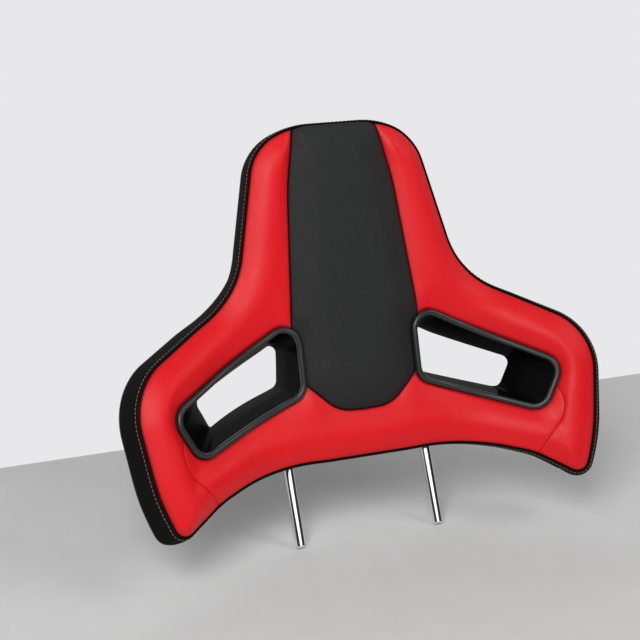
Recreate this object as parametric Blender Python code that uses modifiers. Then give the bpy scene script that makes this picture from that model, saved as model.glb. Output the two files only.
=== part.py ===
"""Sport-seat headrest with shoulder wings, carried on two steel posts.

The pad is drawn flat, as its covers are cut: x runs across it, y up it, and n out of its face.
curl() then rolls both wings forward about a slanted line, so that every layer bends with the face.
Each layer is a slab between two heights over one plan, with a small gap to the layer behind it.
Everything hangs on the empty pad_frame, which leans the pad back. The origin lies midway between
the ends of the two posts.
"""

import math

import bmesh
import bpy
import numpy as np
from mathutils import Matrix, Vector
from mathutils.geometry import delaunay_2d_cdt

MM = 0.001

# ---------------------------------------------------------------- driving dimensions
PAD_LEAN = math.radians(20)  # the pad's face, back from the vertical
POST_LEAN = math.radians(9.2)  # the posts against the pad, ends forward

PAD_TOP = 318.5 * MM
PAD_BOTTOM = -56 * MM
HEAD_HALF_WIDTH = 95.5 * MM
SHOULDER_HALF_WIDTH = 278 * MM  # to the corner, before it is rounded
WING_TIP = -113.5 * MM

CURL_START = 88 * MM  # from the middle, across the slanted line
CURL_SLANT = math.radians(15)
CURL_RADIUS = 150 * MM
CURL_ANGLE = math.radians(25)

GAP = 0.3 * MM  # between touching pieces
COVER_WALL = 3 * MM
FOAM_BACK = -30 * MM
CARRIER_GAP = 0.6 * MM  # behind the foam, where both bend
CARRIER_WALL = 3 * MM
CARRIER_INSET = 6 * MM
RIM_BACK = -44 * MM
SHELL_WALL = 3 * MM
SHELL_BULGE = 29 * MM  # behind the clamps
SHELL_HEAD_BULGE = 9 * MM
SHELL_BULGE_BLEND = 80 * MM  # from the one to the other, up the pad
SHELL_BULGE_INSET = 4 * MM
SHELL_BULGE_RAMP = 14 * MM
SHELL_BULGE_HALF_WIDTH = 100 * MM  # full depth inside this
SHELL_BULGE_FADE = 80 * MM  # and none this much further out

GUSSET_WALL = 1.6 * MM
GUSSET_PUFF = 1.8 * MM
GUSSET_ROLL = 0.3  # share of its depth over which it rolls out, front and rear
RETAINER_WIDTH = 4.4 * MM
RETAINER_HEIGHT = 9 * MM
GUSSET_JOIN = 22 * MM  # past the wing tip, along the edge

SEAM_DEPTH = 4 * MM
SEAM_WIDTH = 11 * MM
WING_SEAM_DEPTH = 2 * MM
WING_SEAM_WIDTH = 8 * MM
RIDGE_RISE = 4.5 * MM
RIDGE_INSET = 24 * MM  # from the edge to the ridge of a bolster
RIDGE_WIDTH = 15 * MM
CENTRE_RISE = 4.5 * MM
CENTRE_ROLL = 40 * MM

BEZEL_DIP = 4 * MM  # the face around a window, below the base sheet
BEZEL_DIP_WIDTH = 22 * MM
BEZEL_DIP_FLAT = 1.1  # over 1, it lies level close to the bezel
BEZEL_BAND = 6.5 * MM
BEZEL_HEIGHT = 4.2 * MM
# Its section, from the outer side: shares of the band and of the height.
BEZEL_SECTION = ((0, 0), (0, 0.35), (0.2, 0.82), (0.5, 1), (0.8, 0.82), (1, 0.35), (1, 0))
WINDOW_RADIUS = 22 * MM
WINDOW_TUCK = 3.5 * MM  # the covers reach this far under the bezel
TUNNEL_WALL = 2.8 * MM
TUNNEL_STEP = -30 * MM  # the funnel steepens here
TUNNEL_LIP = 1 * MM  # past the back shell
TUNNEL_RADIUS = 12 * MM

POST_DIAMETER = 12 * MM
POST_SPACING = 170 * MM
POST_LENGTH = 144 * MM  # from the crossbar's axis to the end
POST_BEND = 20 * MM
POST_CHAMFER = 2 * MM
CROSSBAR_Y = -12 * MM
CROSSBAR_N = -59 * MM
POST_PLAY = 0.35 * MM  # between the posts and what grips them
FERRULE_WALL = 1.8 * MM
FERRULE_LENGTH = 17 * MM  # down from where the post's bend ends

CLAMP_X = 34 * MM
CLAMP_WIDTH = 30 * MM
CLAMP_HEIGHT = 32 * MM
CLAMP_CAP = 9.2 * MM
CLAMP_BOLT_OFFSET = 11.5 * MM
CLAMP_BOLT_DIAMETER = 5 * MM
CLAMP_BOLT_HEAD = 8 * MM
CLAMP_BOLT_HEAD_HEIGHT = 3 * MM
CLAMP_BOLT_LENGTH = 22 * MM

SCREW_DIAMETER = 4.2 * MM
SCREW_HEAD = 9 * MM
SCREW_HEAD_HEIGHT = 2.4 * MM
SCREW_HEAD_RIM = 1 * MM
SCREW_HEAD_TOP = 5 * MM  # across the flat of its crown
SCREW_LENGTH = 11 * MM
SCREW_PLAY = 0.3 * MM
BOSS_DIAMETER = 11 * MM
SCREW_SEAT_RADIUS = 8 * MM  # flat of the back shell round each screw
SCREW_SEAT_RAMP = 5 * MM

PLAN_STEP = 16 * MM
EDGE_STEP = 17 * MM
BACK_STEP = 22 * MM
ARC_STEPS = 5  # of a window's corner
SIDE_STEPS = (4, 8, 3, 9)  # of its inner, bottom, outer and top sides
SCREW_STEPS = 12  # round a screw and what it fits
SCREW_SEAT_STEPS = 8
POST_STEPS = 24  # round the bores of the posts

# The driving widths and heights again, in mm, for the tables below.
HEAD = HEAD_HALF_WIDTH / MM
SHOULDER = SHOULDER_HALF_WIDTH / MM
TOP = PAD_TOP / MM
BOTTOM = PAD_BOTTOM / MM
TIP = WING_TIP / MM
# Right half of the seam round the face, from the top: corner x and y, fillet, how far the face
# drops to the seam there, over what width, and how far the side band flares to its rear edge.
EDGE_CORNERS = (
    (HEAD - 47.5, TOP, 100, 3, 20, 0),
    (HEAD, TOP - 18, 58, 7, 24, 0),
    (HEAD + 37.5, 136, 104, 6, 26, 0),
    (SHOULDER, 52, 72, 12, 34, 4),
    (SHOULDER - 15.5, TIP + 48.5, 264, 13.5, 32, 6),
    (SHOULDER - 33, TIP, 12.5, 10.5, 24, 5),
    (SHOULDER - 86.5, TIP + 34.5, 105, 3, 20, 3),
    (SHOULDER - 162, BOTTOM + 2, 300, 4, 22, 0),
    (SHOULDER - 228, BOTTOM, 300, 4, 22, 0),
)
# Right half of the centre panel's seam, from above the top edge: x, y and fillet.
CENTRE_CORNERS = (
    (HEAD - 48.5, TOP + 11.5, 0), (HEAD - 32.5, TOP - 68.5, 300), (HEAD - 19, 95, 60),
    (70, 34, 10), (32, -4, 12),
)
CENTRE_FOOT = -6 * MM
# The window's outer corners, as the bezel covers them: inner top, inner bottom, outer bottom, outer top.
WINDOW_CORNERS = ((66.3, 113), (66.3, 19.5), (SHOULDER - 68, -36.7), (SHOULDER - 37, 19))
# How far the tunnel is drawn in from the inner, bottom, outer and top sides.
TUNNEL_STEP_INSETS = (11 * MM, 10 * MM, 44 * MM, 12 * MM)
TUNNEL_REAR_INSETS = (14 * MM, 13 * MM, 58 * MM, 15 * MM)
# The short curved seam from the window down to the lower edge: x, y and fillet.
WING_SEAM_CORNERS = ((SHOULDER - 57, 1, 0), (SHOULDER - 37, -31, 34), (SHOULDER - 87, TIP + 27.5, 0))
# Screws of the back shell on the right half.
SCREW_PLACES = (
    (HEAD - 41.5, TOP - 48.5), (HEAD - 13.5, 178),
    (SHOULDER - 70, 62), (SHOULDER - 32, -35), (SHOULDER - 112, -48),
)


# ---------------------------------------------------------------- scene
def clear_scene():
    for obj in list(bpy.data.objects):
        bpy.data.objects.remove(obj, do_unlink=True)
    for collection in list(bpy.data.collections):
        bpy.data.collections.remove(collection)


def new_collection(name):
    collection = bpy.data.collections.new(name)
    bpy.context.scene.collection.children.link(collection)
    return collection


clear_scene()
PARTS = new_collection("wing_headrest")
CUTTERS = new_collection("cutters")


def material(name, colour, roughness, metallic=0.0):
    finish = bpy.data.materials.new(name)
    finish.use_nodes = True
    shader = finish.node_tree.nodes["Principled BSDF"]
    shader.inputs["Base Color"].default_value = (*colour, 1)
    shader.inputs["Roughness"].default_value = roughness
    shader.inputs["Metallic"].default_value = metallic
    finish.diffuse_color = (*colour, 1)
    return finish


# ---------------------------------------------------------------- flat drawing
def fillet(before, corner, after, radius, steps):
    """Points of the arc that rounds a corner, from one tangent point to the other."""
    to_before = (before - corner) / np.linalg.norm(before - corner)
    to_after = (after - corner) / np.linalg.norm(after - corner)
    half = math.acos(np.clip(to_before @ to_after, -1, 1)) / 2
    middle = (to_before + to_after) / np.linalg.norm(to_before + to_after)
    centre = corner + middle * radius / math.sin(half)
    first = corner + to_before * radius / math.tan(half) - centre
    last = corner + to_after * radius / math.tan(half) - centre
    turn = math.atan2(first[0] * last[1] - first[1] * last[0], first @ last)
    angles = np.linspace(0, turn, steps + 1)
    return [
        centre + np.array((math.cos(a) * first[0] - math.sin(a) * first[1],
                           math.sin(a) * first[0] + math.cos(a) * first[1]))
        for a in angles
    ]


def spread(points, step):
    """The same polyline with its long edges cut into equal pieces no longer than step."""
    spaced = [points[0]]
    for start, end in zip(points, points[1:]):
        count = max(1, math.ceil(np.linalg.norm(end - start) / step - 0.01))
        spaced += [start + (end - start) * k / count for k in range(1, count + 1)]
    return np.array(spaced)


def rounded_path(corners, step):
    """An open path through corners of (x, y, fillet) in mm, with a point every step."""
    points = [np.array(corner[:2]) * MM for corner in corners]
    path = [points[0]]
    for before, corner, after, shape in zip(points, points[1:], points[2:], corners[1:]):
        turn = math.pi - math.acos(np.clip(
            (before - corner) @ (after - corner)
            / (np.linalg.norm(before - corner) * np.linalg.norm(after - corner)), -1, 1))
        steps = max(2, math.ceil(turn * shape[2] * MM / step), math.ceil(turn / math.radians(24)))
        path += fillet(before, corner, after, shape[2] * MM, steps)
    path.append(points[-1])
    return spread(path, step)


def rounded_loop(corners, radius, arc_steps, side_cuts):
    """A closed loop with the same number of points for any corners, so that two can be lofted."""
    points = [np.array(corner) for corner in corners]
    arcs = [
        fillet(points[k - 1], corner, points[(k + 1) % len(points)], radius, arc_steps)
        for k, corner in enumerate(points)
    ]
    loop = []
    for k, (arc, cuts) in enumerate(zip(arcs, side_cuts)):
        start, end = arc[-1], arcs[(k + 1) % len(arcs)][0]
        loop += arc + [start + (end - start) * c / cuts for c in range(1, cuts)]
    return np.array(loop)


def mirrored(loop):
    return (loop * (-1, 1))[::-1]


def mitres(loop, closed=True):
    """Outward direction at each point, as long as keeps an offset parallel. Loops run clockwise."""
    ahead = np.roll(loop, -1, axis=0) - loop
    if not closed:
        ahead[-1] = ahead[-2]
    ahead /= np.linalg.norm(ahead, axis=1, keepdims=True)
    behind = np.roll(ahead, 1, axis=0)
    if not closed:
        behind[0] = ahead[0]
    out_ahead = ahead[:, ::-1] * (-1, 1)
    out_behind = behind[:, ::-1] * (-1, 1)
    total = out_ahead + out_behind
    total /= np.linalg.norm(total, axis=1, keepdims=True)
    return total / np.sum(total * out_ahead, axis=1, keepdims=True)


def offset(loop, distance):
    """The closed loop moved outward, or inward where the distance is negative."""
    return loop + mitres(loop) * distance


def inset_corners(corners, insets):
    """Corners of a polygon whose side from corner k to k + 1 has moved in by insets[k]."""
    points = [np.array(corner) for corner in corners]
    count = len(points)
    sides = []
    for k in range(count):
        along = points[(k + 1) % count] - points[k]
        along /= np.linalg.norm(along)
        inward = np.array((-along[1], along[0]))
        sides.append((points[k] + inward * insets[k], along))
    result = []
    for k in range(count):
        (p, a), (q, b) = sides[k - 1], sides[k]
        reach = ((q - p)[0] * b[1] - (q - p)[1] * b[0]) / (a[0] * b[1] - a[1] * b[0])
        result.append(p + a * reach)
    return result


def inside(loop, points):
    """Which points lie within a closed loop."""
    x, y = points[:, 0:1], points[:, 1:2]
    x1, y1 = loop.T
    x2, y2 = np.roll(loop, -1, axis=0).T
    crosses = (y1 > y) != (y2 > y)
    rise = np.where(y2 == y1, 1, y2 - y1)
    return np.sum(crosses & (x < (x2 - x1) * (y - y1) / rise + x1), axis=1) % 2 == 1


def nearest(path, points):
    """Distance from each point to a path, and how far along the path its nearest point lies."""
    start, along = path[:-1], np.diff(path, axis=0)
    length = np.linalg.norm(along, axis=1)
    to_point = points[:, None, :] - start[None]
    share = np.clip(np.sum(to_point * along, axis=2) / length**2, 0, 1)
    apart = np.linalg.norm(to_point - share[..., None] * along, axis=2)
    best = apart.argmin(axis=1)
    rows = np.arange(len(points))
    travelled = np.concatenate(((0,), np.cumsum(length)))[best] + share[rows, best] * length[best]
    return apart[rows, best], travelled


def close(path):
    return np.vstack((path, path[:1]))


def lift(points, heights):
    """Flat points with a height each, or one height for all."""
    return np.column_stack((points, np.broadcast_to(heights, len(points))))


# ---------------------------------------------------------------- the pad's lines
def edge_right():
    """The right half of the face's edge seam, from the top middle to the bottom middle."""
    first, last = EDGE_CORNERS[0], EDGE_CORNERS[-1]
    corners = [(0, first[1], 0)] + [corner[:3] for corner in EDGE_CORNERS] + [(0, last[1], 0)]
    return rounded_path(corners, EDGE_STEP)


EDGE_RIGHT = edge_right()
EDGE = np.vstack((EDGE_RIGHT, (EDGE_RIGHT * (-1, 1))[::-1][1:-1]))
EDGE_LENGTH = np.linalg.norm(np.diff(EDGE_RIGHT, axis=0), axis=1).sum()
EDGE_STATIONS = nearest(EDGE_RIGHT, np.array([corner[:2] for corner in EDGE_CORNERS]) * MM)[1]


def window_loop(insets, radius):
    """The right window's outline, drawn in from each side, clockwise."""
    corners = inset_corners(np.array(WINDOW_CORNERS) * MM, insets)
    return rounded_loop(corners, radius, ARC_STEPS, SIDE_STEPS)[::-1]


WINDOW = window_loop((0, 0, 0, 0), WINDOW_RADIUS)
TUNNEL_WAIST = window_loop(TUNNEL_STEP_INSETS, TUNNEL_RADIUS)
TUNNEL_REAR = window_loop(TUNNEL_REAR_INSETS, TUNNEL_RADIUS)

CENTRE_RIGHT = rounded_path(CENTRE_CORNERS + ((0, CENTRE_FOOT / MM, 0),), EDGE_STEP)
CENTRE = np.vstack((CENTRE_RIGHT, (CENTRE_RIGHT * (-1, 1))[::-1][1:]))
WING_SEAM = rounded_path(WING_SEAM_CORNERS, EDGE_STEP / 2)


def lower_zone():
    """Everything below the wing seams and the windows, for telling the lower panel from the sides."""
    start = np.mean(WINDOW_CORNERS[:2], axis=0) * MM
    end = WING_SEAM[-1] + (0, 2 * WING_TIP)
    right = np.vstack((start * (0, 1), start, WINDOW.mean(axis=0), WING_SEAM, end, end * (0, 1)))
    return np.vstack((right, mirrored(right)[1:-1]))


LOWER_ZONE = lower_zone()


def right_half(points):
    return np.column_stack((np.abs(points[:, 0]), points[:, 1]))


def edge_values(travelled):
    """The face's drop to the edge seam, the width of that drop and the side band's flare there."""
    columns = np.array([corner[3:] for corner in EDGE_CORNERS]).T * MM
    return [np.interp(travelled, EDGE_STATIONS, column) for column in columns]


def flared_edge(distance):
    """The edge seam moved outward by a distance and by the side band's flare."""
    flare = edge_values(nearest(EDGE_RIGHT, right_half(EDGE))[1])[2]
    return EDGE + mitres(EDGE) * (distance + flare)[:, None]


def dip(distance, width):
    """1 at no distance, falling smoothly to 0 at the width."""
    return np.clip(1 - distance / width, 0, 1) ** 2


def ease(share):
    """0 up to 0, 1 from 1 on, and smooth between."""
    share = np.clip(share, 0, 1)
    return share * share * (3 - 2 * share)


def face_height(points):
    """Front of the covers off the base sheet."""
    half = right_half(points)
    to_edge, travelled = nearest(EDGE_RIGHT, half)
    drop, width, _ = edge_values(travelled)
    to_centre = nearest(CENTRE_RIGHT, half)[0]
    in_centre = inside(CENTRE, half)
    to_seam = nearest(WING_SEAM, half)[0]
    ridge = RIDGE_RISE * np.exp(-(((to_edge - RIDGE_INSET) / RIDGE_WIDTH) ** 2))
    ridge *= np.clip(to_centre / SEAM_WIDTH, 0, 1)
    crown = CENTRE_RISE * (1 - dip(to_centre, CENTRE_ROLL))
    height = np.where(in_centre, crown, ridge)
    height -= SEAM_DEPTH * dip(to_centre, SEAM_WIDTH)
    height -= WING_SEAM_DEPTH * dip(to_seam, WING_SEAM_WIDTH)
    height -= drop * dip(to_edge, width)
    to_window = np.where(inside(WINDOW, half), 0, nearest(close(WINDOW), half)[0])
    sunk = np.clip(BEZEL_DIP_FLAT * dip(to_window, BEZEL_DIP_WIDTH), 0, 1)
    return height * (1 - sunk) - BEZEL_DIP * sunk


def shell_bowl(points):
    """Outer face of the back shell off the base sheet, without the flats round its screws."""
    half = right_half(points)
    to_edge = nearest(EDGE_RIGHT, half)[0]
    to_edge = np.where(inside(EDGE, half), to_edge, 0)
    ramp = np.clip((to_edge - SHELL_BULGE_INSET) / SHELL_BULGE_RAMP, 0, 1)
    clamps_top = CROSSBAR_Y + CLAMP_HEIGHT / 2
    above = ease((half[:, 1] - clamps_top) / SHELL_BULGE_BLEND)
    depth = SHELL_BULGE + (SHELL_HEAD_BULGE - SHELL_BULGE) * above
    return RIM_BACK - depth * ramp * (1 - ease((half[:, 0] - SHELL_BULGE_HALF_WIDTH) / SHELL_BULGE_FADE))


def shell_back(points):
    """Outer face of the back shell off the base sheet."""
    height = shell_bowl(points)
    places = np.array(SCREW_PLACES) * MM
    for place, level in zip(places, shell_bowl(places)):
        apart = np.linalg.norm(right_half(points) - place, axis=1)
        share = np.clip((SCREW_SEAT_RADIUS + SCREW_SEAT_RAMP - apart) / SCREW_SEAT_RAMP, 0, 1)
        height = height * (1 - share) + level * share
    return height


# ---------------------------------------------------------------- from flat to real
def curl(points):
    """Flat x, y and n to the real pad: the wings turn forward past a slanted line on each side."""
    x, y, n = points.T
    side = np.where(x < 0, -1, 1)
    cos, sin = math.cos(CURL_SLANT), math.sin(CURL_SLANT)
    across = np.abs(x) * cos - y * sin - CURL_START
    along = np.abs(x) * sin + y * cos
    turn = np.clip(across / CURL_RADIUS, 0, CURL_ANGLE)
    straight = across - turn * CURL_RADIUS
    reach = CURL_RADIUS - n
    out = reach * np.sin(turn) + straight * np.cos(turn) + CURL_START
    rise = CURL_RADIUS - reach * np.cos(turn) + np.where(across > 0, straight, 0) * np.sin(turn)
    return np.column_stack((side * (out * cos + along * sin), along * cos - out * sin, rise))


def seat(x, y, n):
    """Frame at a flat point of the pad: its Z is the pad's own outward direction there."""
    small = 0.01 * MM
    here, right, up = curl(np.array(((x, y, n), (x + small, y, n), (x, y + small, n))))
    along_x = Vector(right - here).normalized()
    outward = along_x.cross(Vector(up - here)).normalized()
    along_y = outward.cross(along_x)
    frame = Matrix((along_x, along_y, outward)).transposed().to_4x4()
    frame.translation = Vector(here)
    return frame


def post_end():
    """End of the posts in the pad's own frame, on the middle line."""
    return Vector((
        0,
        CROSSBAR_Y - POST_LENGTH * math.cos(POST_LEAN),
        CROSSBAR_N + POST_LENGTH * math.sin(POST_LEAN),
    ))


def make_pad_frame():
    frame = bpy.data.objects.new("pad_frame", None)
    PARTS.objects.link(frame)
    turn = Matrix.Rotation(math.pi / 2 - PAD_LEAN, 4, "X")
    frame.matrix_world = Matrix.Translation(-(turn @ post_end())) @ turn
    return frame


PAD_FRAME = make_pad_frame()


# ---------------------------------------------------------------- solids
def add(name, mesh, finish, place=Matrix(), smooth=40):
    """A named piece on the pad frame, shaded smooth except at its sharp edges."""
    obj = bpy.data.objects.new(name, mesh)
    PARTS.objects.link(obj)
    obj.parent = PAD_FRAME
    obj.matrix_local = place
    if isinstance(mesh, bpy.types.Mesh):
        mesh.shade_smooth()
        mesh.set_sharp_from_angle(angle=math.radians(smooth))
    mesh.materials.append(finish)
    return obj


def add_cutter(name, mesh, place=Matrix()):
    obj = bpy.data.objects.new(name, mesh)
    CUTTERS.objects.link(obj)
    obj.parent = PAD_FRAME
    obj.matrix_local = place
    obj.hide_render = True
    obj.display_type = "WIRE"
    return obj


def boolean(obj, cutter, operation):
    modifier = obj.modifiers.new(cutter.name, "BOOLEAN")
    modifier.object = cutter
    modifier.operation = operation
    modifier.solver = "EXACT"


def mesh_from(name, points, faces):
    """A mesh with its faces turned outward."""
    mesh = bpy.data.meshes.new(name)
    mesh.from_pydata([tuple(p) for p in points], [], [tuple(f) for f in faces])
    shape = bmesh.new()
    shape.from_mesh(mesh)
    bmesh.ops.triangulate(shape, faces=shape.faces[:])
    bmesh.ops.recalc_face_normals(shape, faces=shape.faces[:])
    if shape.calc_volume(signed=True) < 0:
        bmesh.ops.reverse_faces(shape, faces=shape.faces[:])
    shape.to_mesh(mesh)
    shape.free()
    return mesh


def triangulated(loops, paths, step):
    """Triangles over the plan: loops and paths stay as edges, and a staggered grid fills between."""
    points = []
    edges = []
    for line, closed in [(loop, True) for loop in loops] + [(path, False) for path in paths]:
        base = len(points)
        points += list(line)
        edges += [(base + k, base + k + 1) for k in range(len(line) - 1)]
        if closed:
            edges.append((base + len(line) - 1, base))
    lines = [close(loop) for loop in loops] + list(paths)
    low, high = loops[0].min(axis=0), loops[0].max(axis=0)
    row = step * math.sqrt(3) / 2
    grid = []
    for j in range(int((high[1] - low[1]) / row) + 1):
        y = low[1] + row * (j + 0.5)
        for k in range(int(high[0] / step) + 1):
            x = step * (k + 0.5 * (j % 2))
            grid += [(x, y)] if x == 0 else [(x, y), (-x, y)]
    grid = np.array(grid)
    clear = inside(loops[0], grid)
    for line in lines:
        clear &= nearest(line, grid)[0] > 0.55 * step
    points += list(grid[clear])
    made = delaunay_2d_cdt([Vector(p) for p in points], edges, [], 0, 1e-7)
    plan = np.array([tuple(v) for v in made[0]])
    faces = np.array([face for face in made[2] if len(face) == 3])
    return plan, faces


def slab(name, plan, faces, top, back, finish, shrink=GAP / 2):
    """Solid over triangles of the plan, its outline drawn in a little.

    The top and back are heights, one for each point of the plan or one for all.
    """
    used, faces = np.unique(faces, return_inverse=True)
    faces = faces.reshape(-1, 3)
    top, back = [np.broadcast_to(heights, len(plan))[used] for heights in (top, back)]
    points = plan[used]
    corners = points[faces]
    turned = np.cross(corners[:, 1] - corners[:, 0], corners[:, 2] - corners[:, 0]) < 0
    faces[turned] = faces[turned][:, ::-1]
    directed = {(int(a), int(b)) for f in faces for a, b in ((f[0], f[1]), (f[1], f[2]), (f[2], f[0]))}
    rim = [(a, b) for a, b in directed if (b, a) not in directed]
    pull = np.zeros_like(points)
    for vertex, inward in rim_pull(points, rim).items():
        pull[vertex] = inward
    count = len(points)
    drawn = points + pull * shrink
    solid = np.vstack((lift(drawn, top), lift(drawn, back)))
    skins = [tuple(f) for f in faces] + [tuple(f[::-1] + count) for f in faces]
    walls = [(b, a, a + count, b + count) for a, b in rim]
    return add(name, mesh_from(name, curl(solid), skins + walls), finish)


def rim_pull(points, rim):
    """Inward direction at each rim vertex, long enough to draw its two edges in alike."""
    normals = {}
    for a, b in rim:
        along = (points[b] - points[a]) / np.linalg.norm(points[b] - points[a])
        inward = np.array((-along[1], along[0]))
        normals.setdefault(a, []).append(inward)
        normals.setdefault(b, []).append(inward)
    pulls = {}
    for vertex, sides in normals.items():
        total = sum(sides)
        total = total / max(np.linalg.norm(total), 1e-6)
        pulls[vertex] = total / max(total @ sides[0], 0.3)
    return pulls


def ring(name, loops, finish):
    """Closed ring through loops of equal length, each a row of flat points round a window."""
    rows, count = len(loops), len(loops[0])
    faces = []
    for r in range(rows):
        for k in range(count):
            this, after = r * count, (r + 1) % rows * count
            faces.append((this + k, this + (k + 1) % count, after + (k + 1) % count, after + k))
    return add(name, mesh_from(name, curl(np.vstack(loops)), faces), finish)


def strip(name, path, outward, section, finish):
    """Strip along a path: section(k) gives its corners as (distance out, n) at path point k."""
    sections = []
    for k, (point, out) in enumerate(zip(path, outward)):
        sections.append([(*(point + out * reach), n) for reach, n in section(k)])
    size = len(sections[0])
    faces = [tuple(range(size)), tuple((len(path) - 1) * size + c for c in range(size))[::-1]]
    for k in range(len(path) - 1):
        for c in range(size):
            after = (c + 1) % size
            faces.append((k * size + c, k * size + after, (k + 1) * size + after, (k + 1) * size + c))
    return add(name, mesh_from(name, curl(np.vstack(sections)), faces), finish)


def turned(profile, steps):
    """Mesh of a profile of (radius, height) turned about Z: it runs down the outer side."""
    mesh = bpy.data.meshes.new("profile")
    mesh.from_pydata([(r, 0, z) for r, z in profile], [(k, k + 1) for k in range(len(profile) - 1)], [])
    holder = bpy.data.objects.new("profile", mesh)
    bpy.context.scene.collection.objects.link(holder)
    screw = holder.modifiers.new("turn", "SCREW")
    screw.steps = screw.render_steps = steps
    screw.use_merge_vertices = True
    screw.merge_threshold = 0.00001
    screw.use_normal_calculate = True
    graph = bpy.context.evaluated_depsgraph_get()
    result = bpy.data.meshes.new_from_object(holder.evaluated_get(graph))
    bpy.data.objects.remove(holder)
    shape = bmesh.new()
    shape.from_mesh(result)
    bmesh.ops.remove_doubles(shape, verts=shape.verts[:], dist=1e-6)
    bmesh.ops.recalc_face_normals(shape, faces=shape.faces[:])
    shape.to_mesh(result)
    shape.free()
    return result


def cylinder(radius, low, high, steps):
    return turned(((0, high), (radius, high), (radius, low), (0, low)), steps)


def box(low, high):
    mesh = bpy.data.meshes.new("box")
    shape = bmesh.new()
    size = Vector(high) - Vector(low)
    place = Matrix.Translation((Vector(low) + Vector(high)) / 2) @ Matrix.Diagonal((*size, 1))
    bmesh.ops.create_cube(shape, size=1, matrix=place)
    shape.to_mesh(mesh)
    shape.free()
    return mesh


def joined(name, meshes, places):
    """One mesh of several closed shapes, each put in its place."""
    shape = bmesh.new()
    for mesh, place in zip(meshes, places):
        before = len(shape.verts)
        shape.from_mesh(mesh)
        shape.verts.ensure_lookup_table()
        bmesh.ops.transform(shape, matrix=place, verts=shape.verts[before:])
    result = bpy.data.meshes.new(name)
    shape.to_mesh(result)
    shape.free()
    return result


# ---------------------------------------------------------------- finishes
RED_LEATHER = material("red_leather", (0.72, 0.012, 0.02), 0.42)
BLACK_LEATHER = material("black_leather", (0.028, 0.029, 0.03), 0.55)
GUSSET_LEATHER = material("gusset_leather", (0.012, 0.012, 0.012), 0.6)
FOAM = material("moulded_foam", (0.62, 0.56, 0.36), 0.95)
CARRIER_PLASTIC = material("carrier_plastic", (0.05, 0.05, 0.055), 0.6)
SHELL_PLASTIC = material("shell_plastic", (0.018, 0.018, 0.019), 0.45)
BEZEL_PLASTIC = material("bezel_plastic", (0.045, 0.048, 0.047), 0.3)
TUNNEL_PLASTIC = material("tunnel_plastic", (0.012, 0.012, 0.013), 0.5)
STRIP_PLASTIC = material("retainer_plastic", (0.1, 0.1, 0.1), 0.5)
CHROME = material("chromed_steel", (0.85, 0.85, 0.87), 0.08, 1.0)
STEEL = material("zinc_plated_steel", (0.5, 0.5, 0.48), 0.35, 1.0)
BLACK_STEEL = material("black_oxide_steel", (0.03, 0.03, 0.03), 0.4, 1.0)


# ---------------------------------------------------------------- covers and foam
def make_pad():
    """Cover panels and foam share one triangulation, so that they nest facet by facet."""
    window_cut = offset(WINDOW, -WINDOW_TUCK)
    plan, faces = triangulated(
        [EDGE, window_cut, mirrored(window_cut), WINDOW, mirrored(WINDOW)],
        [CENTRE, WING_SEAM, WING_SEAM * (-1, 1)],
        PLAN_STEP,
    )
    middles = plan[faces].mean(axis=1)
    solid = inside(EDGE, middles) & ~inside(window_cut, right_half(middles))
    centre = solid & inside(CENTRE, middles)
    lower = solid & ~centre & inside(LOWER_ZONE, middles)
    side = solid & ~centre & ~lower
    foam_wall = COVER_WALL + GAP
    for name, kept, finish in (
        ("centre_panel", centre, BLACK_LEATHER),
        ("lower_panel", lower, RED_LEATHER),
        ("side_panel_right", side & (middles[:, 0] > 0), RED_LEATHER),
        ("side_panel_left", side & (middles[:, 0] < 0), RED_LEATHER),
    ):
        slab(name, plan, faces[kept], face_height(plan), face_height(plan) - COVER_WALL, finish)
    for name, kept in (("centre_foam", centre), ("bolster_foam", solid & ~centre)):
        slab(name, plan, faces[kept], face_height(plan) - foam_wall, FOAM_BACK, FOAM)


def walk(start, end):
    """Points of the edge seam between two stations, their outward directions, drops and flares.

    Stations count from the top middle: positive down the right side, negative down the left.
    """
    marks = np.concatenate(((0,), np.cumsum(np.linalg.norm(np.diff(EDGE_RIGHT, axis=0), axis=1))))
    stations = np.concatenate((-marks[:0:-1], marks))
    points = np.vstack(((EDGE_RIGHT * (-1, 1))[:0:-1], EDGE_RIGHT))
    outs = mitres(points, closed=False)
    outs[0] = outs[-1] = (0, -1)
    if end > EDGE_LENGTH:
        stations = np.concatenate((stations, stations[1:] + 2 * EDGE_LENGTH))
        points = np.vstack((points, points[1:]))
        outs = np.vstack((outs, outs[1:]))
    at = [start] + [s for s in stations if start + GAP < s < end - GAP] + [end]
    path = np.column_stack([np.interp(at, stations, points[:, axis]) for axis in (0, 1)])
    outward = np.column_stack([np.interp(at, stations, outs[:, axis]) for axis in (0, 1)])
    folded = EDGE_LENGTH - np.abs(EDGE_LENGTH - np.abs(at))
    drops, _, flares = edge_values(folded)
    return path, outward, drops, flares


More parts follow.
